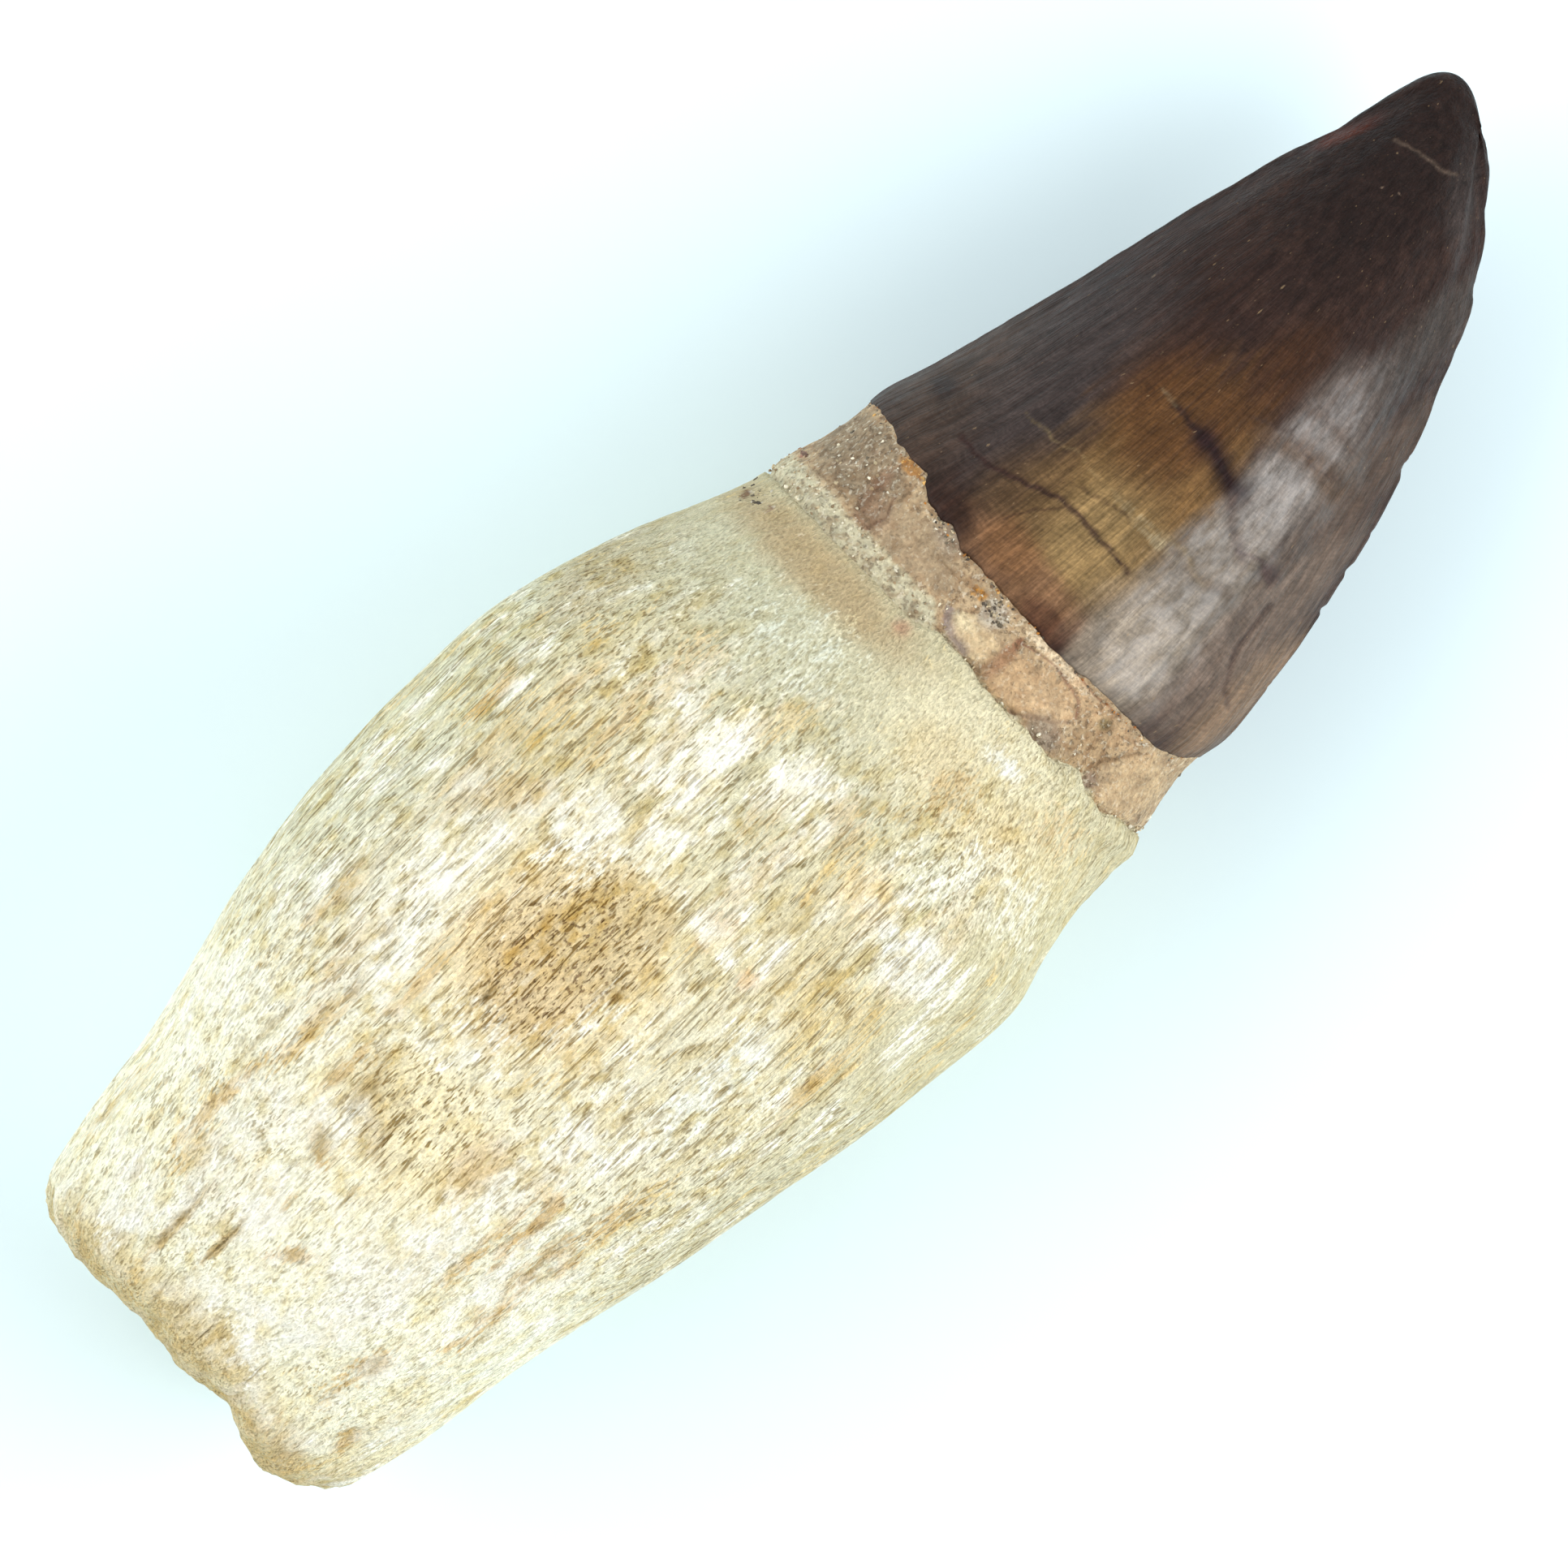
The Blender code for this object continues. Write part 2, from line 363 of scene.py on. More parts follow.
    def _radius(self, station: np.ndarray, turn: np.ndarray) -> np.ndarray:
        """Reads the table on cubic curves.

        Args:
            station: Where along the tooth.
            turn: Where round the tooth.

        Returns:
            The radii.
        """
        row = np.clip((station - self.first) / self.sizes.step, 0, len(self._stations) - 1.000001)
        column = (turn % (2 * math.pi)) * self.sizes.turns / (2 * math.pi)
        row_low, column_low = np.floor(row).astype(int), np.floor(column).astype(int)
        row_share, column_share = _cubic_shares(row - row_low), _cubic_shares(column - column_low)
        total = np.zeros(station.shape)
        for i in range(4):
            rows = np.clip(row_low + i - 1, 0, len(self._stations) - 1)
            for j in range(4):
                columns = (column_low + j - 1) % self.sizes.turns
                total += row_share[i] * column_share[j] * self._radii[rows, columns]
        return total

    def surface(self, station: np.ndarray, turn: np.ndarray, sink: np.ndarray | float = 0.0) -> np.ndarray:
        """Points of the tooth's surface.

        Args:
            station: Where along the tooth.
            turn: Where round the tooth, from the rear edge over the upper side.
            sink: How far each point lies under the surface.

        Returns:
            Points as (along, across, height), in millimetres.
        """
        origin, direction = self._rays(station, turn)
        reach = np.maximum(self._radius(station, turn) - sink, 0)
        points = origin + reach[..., None] * direction
        points[..., 0] += (self.sizes.stretch - 1) * (points[..., 0] - self.length / 2)
        return points

    def hub(self, station: float) -> np.ndarray:
        """The point of the centre line at a station."""
        return self._rays(np.array(station), np.array(0.0))[0]

    def line_by_turn(self, line: Path, station: float, turn: np.ndarray, shake: np.ndarray) -> np.ndarray:
        """Reads a line drawn across the upper side at each turn round the tooth.

        Args:
            line: Corners as (along, across), in any order.
            station: Roughly where along the tooth the line runs.
            turn: The turns to read it at.
            shake: What is added on the underside, where the line isn't known.

        Returns:
            The line's place along the tooth at each turn.
        """
        across = self.surface(np.full(turn.shape, station), turn)[..., 1]
        ordered = sorted((y, x) for x, y in line)
        at = np.interp(across, [y for y, _ in ordered], [x for _, x in ordered])
        return at + shake * fade(-np.sin(turn), 0.0, 0.3)


def _cubic_shares(t: np.ndarray) -> tuple[np.ndarray, ...]:
    """Weighs four neighbours for a smoothing cubic B-spline.

    Args:
        t: Share of the way between the middle two.

    Returns:
        The four weights.
    """
    rest = 1 - t
    return (
        rest**3 / 6,
        (3 * t**3 - 6 * t**2 + 4) / 6,
        (3 * rest**3 - 6 * rest**2 + 4) / 6,
        t**3 / 6,
    )


# ---------------------------------------------------------------- a skin over the form


@dataclass
class Skin:
    """A closed grid of points over part of the tooth, with what is known at each point."""

    points: np.ndarray
    turn: np.ndarray
    even_girth: float = 18.0
    straight: bool = False
    height: np.ndarray = field(init=False)
    cavity: np.ndarray = field(init=False)
    tint: np.ndarray = field(init=False)
    stain: np.ndarray = field(init=False)
    stain_tint: np.ndarray = field(init=False)
    streak: np.ndarray = field(init=False)
    bleach: np.ndarray = field(init=False)
    gloss: np.ndarray = field(init=False)

    def __post_init__(self) -> None:
        """Starts every value at nothing."""
        shape = self.points.shape[:2]
        self.height = np.zeros(shape)
        self.cavity = np.zeros(shape)
        self.tint = np.zeros((*shape, 3))
        self.stain = np.zeros(shape)
        self.stain_tint = np.zeros((*shape, 3))
        self.streak = np.ones(shape)
        self.bleach = np.zeros(shape)
        self.gloss = np.zeros(shape)
        self.normals = self._normals()
        self.upper = fade(self.normals[..., 2], -0.15, 0.15)
        self.along, self.across = self.points[..., 0].copy(), self.points[..., 1].copy()
        self.fibre = self._fibre()

    def _normals(self) -> np.ndarray:
        """The outward normal at each point, from its neighbours.

        Returns:
            The normals.
        """
        along = np.gradient(self.points, axis=0)
        around = np.roll(self.points, -1, axis=1) - np.roll(self.points, 1, axis=1)
        normals = np.cross(around, along)
        size = np.linalg.norm(normals, axis=-1, keepdims=True)
        return normals / np.maximum(size, 1e-9)

    def _fibre(self) -> np.ndarray:
        """Coordinates that follow the fibres: along the tooth, and round a cylinder of even girth.

        Where the surface turns to face an end, they grow faster along, so fibres show as grains.
        Straight fibres run through the tooth side by side instead, with a slight sway.

        Returns:
            The coordinates of each point.
        """
        if self.straight:
            sway = GradientNoise(71).at(self.points, (9, 6, 6))[..., None]
            return self.points + sway * np.array([0.0, 0.12, 0.12])
        step = np.diff(self.points, axis=0)
        arc = np.linalg.norm(step, axis=-1)
        end_on = 1 - np.abs(step[..., 0]) / np.maximum(arc, 1e-6)
        length = np.cumsum(arc * (1 + 4 * end_on), axis=0)
        length = np.concatenate([np.zeros((1, arc.shape[1])), length])
        middle = self.points[..., 1:].mean(axis=1, keepdims=True)
        radius = np.linalg.norm(self.points[..., 1:] - middle, axis=-1).mean(axis=1, keepdims=True)
        girth = self.even_girth * np.clip(radius / (0.6 * radius.max()), 0, 1)
        return np.stack([length, girth * np.cos(self.turn), girth * np.sin(self.turn)], axis=-1)

    def mark(self, patch: Patch, ragged: np.ndarray) -> np.ndarray:
        """How strongly a patch shows at each point.

        Args:
            patch: The patch.
            ragged: Noise that roughens its edge.

        Returns:
            Values of 0 to 1.
        """
        right = self.along - patch.along
        up = self.across - patch.across - patch.lean * right
        off = np.hypot(right / patch.half_length, up / patch.half_width)
        mask = 1 - fade(off + 0.35 * ragged, 1 - patch.softness, 1 + patch.softness)
        return mask * self.upper

    def wash(self, colour: Colour, share: np.ndarray) -> None:
        """Mixes a colour into the ground evenly, by a share for each point."""
        self.tint += (linear(colour) - self.tint) * np.clip(share, 0, 1)[..., None]

    def lay_stain(self, colour: Colour, share: np.ndarray) -> None:
        """Lays a ragged stain over the stains so far.

        Args:
            colour: The stain's colour.
            share: How much of it each point gets.
        """
        share = np.clip(share, 0, 1)
        kept = self.stain * (1 - share)
        total = np.maximum(kept + share, 1e-6)
        mixed = self.stain_tint * kept[..., None] + linear(colour) * share[..., None]
        self.stain_tint = mixed / total[..., None]
        self.stain = kept + share

    def lay_patches(self, patches: Sequence[Patch], ragged: np.ndarray) -> None:
        """Lays and raises each patch in turn.

        Args:
            patches: The patches.
            ragged: Noise that roughens their edges.
        """
        for patch in patches:
            mask = self.mark(patch, ragged)
            if patch.blend is Blend.SOFT:
                self.wash(patch.colour, mask * patch.strength)
            else:
                self.lay_stain(patch.colour, mask * patch.strength)
            self.height += mask * patch.lift

    def raised(self) -> np.ndarray:
        """The points with their relief, held above the floor.

        Returns:
            The points, in millimetres.
        """
        points = self.points + self.normals * self.height[..., None]
        points[..., 2] = np.maximum(points[..., 2], 0.0)
        return points


class SkinMesh:
    """Makes a skin into a closed mesh object with its values as attributes."""

    def __init__(self, name: str, skin: Skin, form: Form, ends: tuple[np.ndarray, np.ndarray]) -> None:
        """Builds the mesh.

        Args:
            name: The piece's name.
            skin: The points and values.
            form: The form that the skin lies on.
            ends: The points that close the skin's first and last ring.
        """
        rings = skin.raised()
        rows, columns = rings.shape[:2]
        points = np.concatenate([rings.reshape(-1, 3), np.array(ends)])
        points[:, 0] += form.start
        mesh = bpy.data.meshes.new(name)
        mesh.from_pydata((points * MM).tolist(), [], self._faces(rows, columns))
        mesh.shade_smooth()
        self._store(mesh, "fibre", "FLOAT_VECTOR", skin.fibre)
        solid = np.ones((rows, columns, 1))
        self._store(mesh, "tint", "FLOAT_COLOR", np.concatenate([skin.tint, solid], -1))
        self._store(mesh, "stain_tint", "FLOAT_COLOR", np.concatenate([skin.stain_tint, solid], -1))
        for value in ("stain", "cavity", "streak", "bleach", "gloss"):
            self._store(mesh, value, "FLOAT", getattr(skin, value))
        self.object = bpy.data.objects.new(name, mesh)
        bpy.context.scene.collection.objects.link(self.object)

    @staticmethod
    def _faces(rows: int, columns: int) -> list[tuple[int, ...]]:
        """Lays four-sided faces between the rings, and a fan of triangles over each end.

        Args:
            rows: How many rings there are.
            columns: How many points each ring has.

        Returns:
            The faces.
        """
        index = np.arange(rows * columns).reshape(rows, columns)
        after = np.roll(index, -1, axis=1)
        quads = np.stack([index[:-1], after[:-1], after[1:], index[1:]], axis=-1).reshape(-1, 4)
        faces = [tuple(quad) for quad in quads.tolist()]
        low, high = rows * columns, rows * columns + 1
        faces += [(low, b, a) for a, b in zip(index[0].tolist(), after[0].tolist())]
        faces += [(high, a, b) for a, b in zip(index[-1].tolist(), after[-1].tolist())]
        return faces

    @staticmethod
    def _store(mesh: bpy.types.Mesh, name: str, kind: str, values: np.ndarray) -> None:
        """Stores values as a point attribute, with the ring's average at each end's point.

        Args:
            mesh: The mesh.
            name: The attribute's name.
            kind: Its Blender type.
            values: The values, by ring and column.
        """
        wide = values.reshape(values.shape[0], values.shape[1], -1)
        ends = np.stack([wide[0].mean(axis=0), wide[-1].mean(axis=0)])
        flat = np.concatenate([wide.reshape(-1, wide.shape[-1]), ends]).astype(np.float32)
        slot = {"FLOAT": "value", "FLOAT_VECTOR": "vector", "FLOAT_COLOR": "color"}[kind]
        mesh.attributes.new(name, kind, "POINT").data.foreach_set(slot, flat.ravel())


def ring_places(turn: np.ndarray) -> np.ndarray:
    """Places round a plain ring at each turn, to read a noise that closes on itself."""
    return np.stack([np.zeros(len(turn)), 9 * np.cos(turn), 9 * np.sin(turn)], axis=-1)


def turns_round(upper: int, lower: int) -> np.ndarray:
    """Spaces a ring's points.

    Args:
        upper: How many lie over the upper side.
        lower: How many lie over the underside.

    Returns:
        The turn of each point.
    """
    over = np.arange(upper) * math.pi / upper
    under = math.pi + np.arange(lower) * math.pi / lower
    return np.concatenate([over, under])


# ---------------------------------------------------------------- shader wiring


class Wiring:
    """Adds and joins the nodes of one shader tree."""

    def __init__(self, tree: bpy.types.NodeTree) -> None:
        """Takes the tree to work in."""
        self.tree = tree

    def node(
        self, kind: str, values: dict[str, object] | None = None, **settings: object
    ) -> bpy.types.Node:
        """Adds a node.

        Args:
            kind: Its Blender type.
            values: What goes into its inputs, by input name: a socket or a plain value.
            settings: Its own properties.

        Returns:
            The node.
        """
        made = self.tree.nodes.new(kind)
        for name, value in settings.items():
            setattr(made, name, value)
        for name, value in (values or {}).items():
            self.feed(made.inputs[name], value)
        return made

    def feed(self, socket: Socket, value: object) -> None:
        """Joins a socket to an input, or sets the input's value.

        Args:
            socket: The input.
            value: A socket or a plain value.
        """
        if isinstance(value, Socket):
            self.tree.links.new(value, socket)
        else:
            socket.default_value = value

    def math(self, operation: str, first: object, second: object, clamp: bool = False) -> Socket:
        """Adds one step of arithmetic.

        Args:
            operation: Its Blender name.
            first: A socket or a number.
            second: A socket or a number.
            clamp: Whether the result is held between 0 and 1.

        Returns:
            The result.
        """
        made = self.node("ShaderNodeMath", operation=operation, use_clamp=clamp)
        self.feed(made.inputs[0], first)
        self.feed(made.inputs[1], second)
        return made.outputs[0]

    def plus(self, first: object, second: object) -> Socket:
        """The sum of two values."""
        return self.math("ADD", first, second)

    def minus(self, first: object, second: object) -> Socket:
        """The difference of two values."""
        return self.math("SUBTRACT", first, second)

    def times(self, first: object, second: object, clamp: bool = False) -> Socket:
        """The product of two values."""
        return self.math("MULTIPLY", first, second, clamp)

    def mix(self, share: object, first: object, second: object, blend: str = "MIX") -> Socket:
        """Mixes two colours.

        Args:
            share: How much of the second there is.
            first: A socket or a colour.
            second: A socket or a colour.
            blend: Blender's name for the way of mixing.

        Returns:
            The mixed colour.
        """
        made = self.node("ShaderNodeMix", data_type="RGBA", blend_type=blend, clamp_factor=True)
        self.feed(made.inputs[0], share)
        self.feed(made.inputs[6], first)
        self.feed(made.inputs[7], second)
        return made.outputs[2]

    def attribute(self, name: str, output: str) -> Socket:
        """Reads one of the mesh's attributes."""
        return self.node("ShaderNodeAttribute", attribute_name=name).outputs[output]

    def colour(self, value: Colour) -> tuple[float, float, float, float]:
        """A display colour as a plain linear value for a socket."""
        return (*(float(part) for part in linear(value)), 1.0)

    def use(self, group: bpy.types.NodeTree, values: dict[str, object]) -> Socket:
        """Places a node group, and returns its first output."""
        return self.node("ShaderNodeGroup", values, node_tree=group).outputs[0]


class SurfaceEffects:
    """The shader groups that the tooth's materials share."""

    def __init__(self) -> None:
        """Builds each group once."""
        self.streaks = self._streaks()
        self.ragged_stain = self._ragged_stain()
        self.hollow_darkening = self._hollow_darkening()

    @staticmethod
    def _group(
        name: str, inputs: dict[str, object], output: str
    ) -> tuple[Wiring, bpy.types.Node, bpy.types.Node]:
        """Starts a group with named sockets.

        Args:
            name: The group's name.
            inputs: The default of each input by name: a number, a colour, or None for a vector.
            output: Name of the output, which is a colour if it is Colour and a number otherwise.

        Returns:
            The group's wiring, its input node and its output node.
        """
        tree = bpy.data.node_groups.new(name, "ShaderNodeTree")
        for label, default in inputs.items():
            kind = "Vector" if default is None else "Color" if isinstance(default, tuple) else "Float"
            socket = tree.interface.new_socket(label, in_out="INPUT", socket_type="NodeSocket" + kind)
            if default is not None:
                socket.default_value = default
        kind = "NodeSocketColor" if output == "Colour" else "NodeSocketFloat"
        tree.interface.new_socket(output, in_out="OUTPUT", socket_type=kind)
        wiring = Wiring(tree)
        return wiring, wiring.node("NodeGroupInput"), wiring.node("NodeGroupOutput")

    def _streaks(self) -> bpy.types.NodeTree:
        """Streaks that run along the tooth, or specks where length and width are alike, as a mask.

        Returns:
            The group.
        """
        wiring, given, out = self._group(
            "Fibre streaks",
            {
                "Vector": None,
                "Length": 2.0,
                "Width": 0.25,
                "Detail": 2.0,
                "Start": 0.5,
                "End": 0.6,
                "Shift": 0.0,
            },
            "Mask",
        )
        take = given.outputs
        sizes = {"X": take["Length"], "Y": take["Width"], "Z": take["Width"]}
        size = wiring.node("ShaderNodeCombineXYZ", sizes)
        moved = wiring.node("ShaderNodeVectorMath", operation="ADD")
        wiring.feed(moved.inputs[0], take["Vector"])
        wiring.feed(moved.inputs[1], take["Shift"])
        spot = wiring.node("ShaderNodeVectorMath", operation="DIVIDE")
        wiring.feed(spot.inputs[0], moved.outputs[0])
        wiring.feed(spot.inputs[1], size.outputs[0])
        grown = {"Vector": spot.outputs[0], "Scale": 1.0, "Detail": take["Detail"]}
        noise = wiring.node("ShaderNodeTexNoise", grown)
        levels = {"Value": noise.outputs[0], "From Min": take["Start"], "From Max": take["End"]}
        mask = wiring.node("ShaderNodeMapRange", levels)
        wiring.feed(out.inputs[0], mask.outputs[0])
        return wiring.tree

    def _ragged_stain(self) -> bpy.types.NodeTree:
        """A stain whose edge breaks up with a noise, as a colour.

        Returns:
            The group.
        """
        wiring, given, out = self._group(
            "Ragged stain",
            {
                "Colour": (1.0, 1.0, 1.0, 1.0),
                "Stain": (0.5, 0.4, 0.2, 1.0),
                "Amount": 0.0,
                "Breakup": 0.5,
                "Reach": 1.0,
            },
            "Colour",
        )
        take = given.outputs
        shaken = wiring.times(wiring.minus(take["Breakup"], 0.5), take["Reach"])
        levels = {"Value": wiring.plus(take["Amount"], shaken), "From Min": 0.3, "From Max": 0.7}
        share = wiring.node("ShaderNodeMapRange", levels)
        gate = wiring.times(take["Amount"], 6.0, clamp=True)
        share = wiring.times(share.outputs[0], gate)
        wiring.feed(out.inputs[0], wiring.mix(share, take["Colour"], take["Stain"]))
        return wiring.tree

    def _hollow_darkening(self) -> bpy.types.NodeTree:
        """Darkening that lies in the hollows of a surface, as a colour: dirt, and painted shade in the
        wrinkles of the root's rolled end.

        Returns:
            The group.
        """
        wiring, given, out = self._group(
            "Hollow darkening",
            {
                "Colour": (1.0, 1.0, 1.0, 1.0),
                "Dirt": (0.2, 0.12, 0.05, 1.0),
                "Cavity": 0.0,
                "Amount": 0.8,
            },
            "Colour",
        )
        take = given.outputs
        share = wiring.times(take["Cavity"], take["Amount"], clamp=True)
        wiring.feed(out.inputs[0], wiring.mix(share, take["Colour"], take["Dirt"]))
        return wiring.tree


@dataclass(frozen=True)
class Streaks:
    """One layer of streaks or specks, as sizes in millimetres and the noise levels it spans."""

    length: float
    width: float
    detail: float
    start: float
    end: float
    shift: float = 0.0

    def mask(self, wiring: Wiring, effects: SurfaceEffects, vector: Socket) -> Socket:
        """Places the layer in a material.

        Args:
            wiring: The material's wiring.
            effects: The shared shader groups.
            vector: The coordinates that follow the fibres.

        Returns:
            The layer's mask.
        """
        values = {
            "Vector": vector,
            "Length": self.length,
            "Width": self.width,
            "Detail": self.detail,
            "Start": self.start,
            "End": self.end,
            "Shift": self.shift,
        }
        return wiring.use(effects.streaks, values)


class Finish:
    """The start of every finish: a material, its shader and the skin's values."""

    def __init__(self, name: str, effects: SurfaceEffects) -> None:
        """Makes the material and reads the skin's values in it.

        Args:
            name: The material's name.
            effects: The shared shader groups.
        """
        self.material = bpy.data.materials.new(name)
        self.material.use_nodes = True
        self.effects = effects
        self.wiring = Wiring(self.material.node_tree)
        self.shader = self.material.node_tree.nodes["Principled BSDF"]
        self.fibre = self.wiring.attribute("fibre", "Vector")
        self.tint = self.wiring.attribute("tint", "Color")
        self.stain_tint = self.wiring.attribute("stain_tint", "Color")
        self.stain = self.wiring.attribute("stain", "Fac")
        self.cavity = self.wiring.attribute("cavity", "Fac")
        self.streak = self.wiring.attribute("streak", "Fac")

    def layer(self, layer: Streaks, share: object = 1.0) -> Socket:
        """A layer of streaks, weakened by a share."""
        return self.wiring.times(layer.mask(self.wiring, self.effects, self.fibre), share)

    def stained(self, breakup: Socket, reach: float) -> Socket:
        """Lays the skin's ragged stains over its ground colour.

        Args:
            breakup: Noise that breaks the stains up.
            reach: How far it moves their edges.

        Returns:
            The stained colour.
        """
        values = {
            "Colour": self.tint,
            "Stain": self.stain_tint,
            "Amount": self.stain,
            "Breakup": breakup,
            "Reach": reach,
        }
        return self.wiring.use(self.effects.ragged_stain, values)

    def darkened_in_hollows(self, colour: Socket, dirt: Colour, amount: float) -> Socket:
        """Lays dirt in the skin's hollows; in the wrinkles of the root's rolled end it is partly painted
        shade.

        Args:
            colour: The colour so far.
            dirt: The dirt's colour.
            amount: How strongly it shows.

        Returns:
            The dirtied colour.
        """
        values = {
            "Colour": colour,
            "Dirt": self.wiring.colour(dirt),
            "Cavity": self.cavity,
            "Amount": amount,
        }
        return self.wiring.use(self.effects.hollow_darkening, values)

    def shaded(self, colour: Socket, mask: object, dark: float, pale: float) -> Socket:
        """A colour multiplied by dark where the mask is 0 and by pale where it is 1."""
        shade = self.wiring.plus(self.wiring.times(mask, pale - dark), dark)
        return self.wiring.mix(1.0, colour, shade, "MULTIPLY")

    def tinted(self, colour: Socket, mask: Socket, tint: Colour, strength: float = 1.0) -> Socket:
        """A colour multiplied by a tint where the mask is 1."""
        deep = self.wiring.mix(strength, colour, self.wiring.colour(tint), "MULTIPLY")
        return self.wiring.mix(mask, colour, deep)

    def close(
        self, colour: object, height: object, depth: float, roughness: object, specular: float
    ) -> bpy.types.Material:
        """Feeds the shader.

        Args:
            colour: The finished colour.
            height: What the bump is read from.
            depth: The bump's depth, in metres.
            roughness: A socket or a plain value.
            specular: The shader's specular level.

        Returns:
            The material.
        """
        bump = self.wiring.node("ShaderNodeBump", {"Height": height, "Distance": depth, "Strength": 0.8})
        self.wiring.feed(self.shader.inputs["Base Color"], colour)
        self.wiring.feed(self.shader.inputs["Roughness"], roughness)
        self.wiring.feed(self.shader.inputs["Normal"], bump.outputs[0])
        self.shader.inputs["Specular IOR Level"].default_value = specular
        return self.material


@dataclass(frozen=True)
class BoneFinish:
    """Matt fossil bone with streaks along its fibres."""

    name: str = "fossil_bone"
    white: Colour = (254, 252, 238)
    ochre: Colour = (232, 219, 180)
    blot: Colour = (232, 220, 188)
    dash: Colour = (152, 132, 86)
    pore: Colour = (120, 88, 54)
    # ochre dirt in the bone's hollows; in the rolled end's wrinkles it is also painted shade
    dirt: Colour = (190, 166, 110)
    blotch: Streaks = Streaks(2.2, 1.3, 6.0, 0.3, 0.7, 7.0)
    strands: Streaks = Streaks(3.2, 0.24, 1.0, 0.34, 0.66, 3.0)
    pale: Streaks = Streaks(1.3, 0.42, 4.0, 0.5, 0.6, 13.0)
    snow: Streaks = Streaks(2.6, 1.7, 9.0, 0.44, 0.62, 71.0)
    blots: Streaks = Streaks(1.5, 1.0, 8.0, 0.5, 0.6, 61.0)
    gold: Streaks = Streaks(2.0, 1.2, 7.0, 0.47, 0.63, 23.0)
    clusters: Streaks = Streaks(6.0, 2.8, 3.0, 0.42, 0.58, 31.0)
    dashes: Streaks = Streaks(2.9, 0.165, 1.0, 0.54, 0.62, 41.0)
    breaks: Streaks = Streaks(1.0, 0.5, 2.0, 0.45, 0.54, 111.0)
    furrows: Streaks = Streaks(4.0, 0.28, 1.0, 0.62, 0.7, 97.0)
    pores: Streaks = Streaks(0.4, 0.22, 1.0, 0.59, 0.68, 83.0)
    grain: Streaks = Streaks(0.3, 0.2, 3.0, 0.32, 0.68, 53.0)
    depth: float = 0.00022
    roughness: float = 0.88
    specular: float = 0.2

    def build(self, effects: SurfaceEffects) -> bpy.types.Material:
        """Makes the material.

        Args:
            effects: The shared shader groups.

        Returns:
            The material.
        """
        work = Finish(self.name, effects)
        wiring = work.wiring
        strands = work.layer(self.strands)
        grain = work.layer(self.grain)
        clusters = work.layer(self.clusters)
        breakup = wiring.times(work.layer(self.blotch), 0.4)
        breakup = wiring.plus(breakup, wiring.times(strands, 0.42))
        breakup = wiring.plus(breakup, wiring.times(grain, 0.18))
        colour = work.stained(breakup, 1.2)
        snow = work.layer(self.snow, wiring.attribute("bleach", "Fac"))
        bare = wiring.minus(1.0, wiring.times(snow, 0.6))
        colour = wiring.mix(snow, colour, wiring.colour(self.white))
        open_bone = wiring.times(wiring.minus(work.streak, 0.5), 3.0, clamp=True)
        colour = work.shaded(colour, work.layer(self.pale, open_bone), 1.0, 1.1)
        blots_share = wiring.times(clusters, wiring.times(work.streak, 0.8))
        colour = work.tinted(colour, work.layer(self.blots, blots_share), self.blot)
        gold_share = wiring.plus(wiring.times(clusters, 0.55), 0.36)
        gold = work.layer(self.gold, wiring.times(gold_share, work.streak))
        colour = work.tinted(colour, gold, self.ochre)
        dashes = work.layer(self.dashes, work.layer(self.breaks))
        dashes = wiring.math("MAXIMUM", dashes, work.layer(self.furrows, 0.8))
        dashes = wiring.times(dashes, wiring.times(work.streak, bare), clamp=True)
        colour = work.tinted(colour, dashes, self.dash, 0.9)
        in_pit = wiring.times(wiring.minus(work.streak, 0.85), 2.2, clamp=True)
        pores = work.layer(self.pores, in_pit)
        colour = work.tinted(colour, pores, self.pore, 0.8)
        colour = work.darkened_in_hollows(colour, self.dirt, 0.7)
        grained = work.shaded(colour, grain, 0.83, 1.15)
        colour = wiring.mix(wiring.times(snow, 0.4), grained, colour)
        colour = work.shaded(colour, strands, 0.92, 1.07)
        height = wiring.minus(wiring.plus(grain, strands), wiring.plus(dashes, pores))
        return work.close(colour, height, self.depth, self.roughness, self.specular)


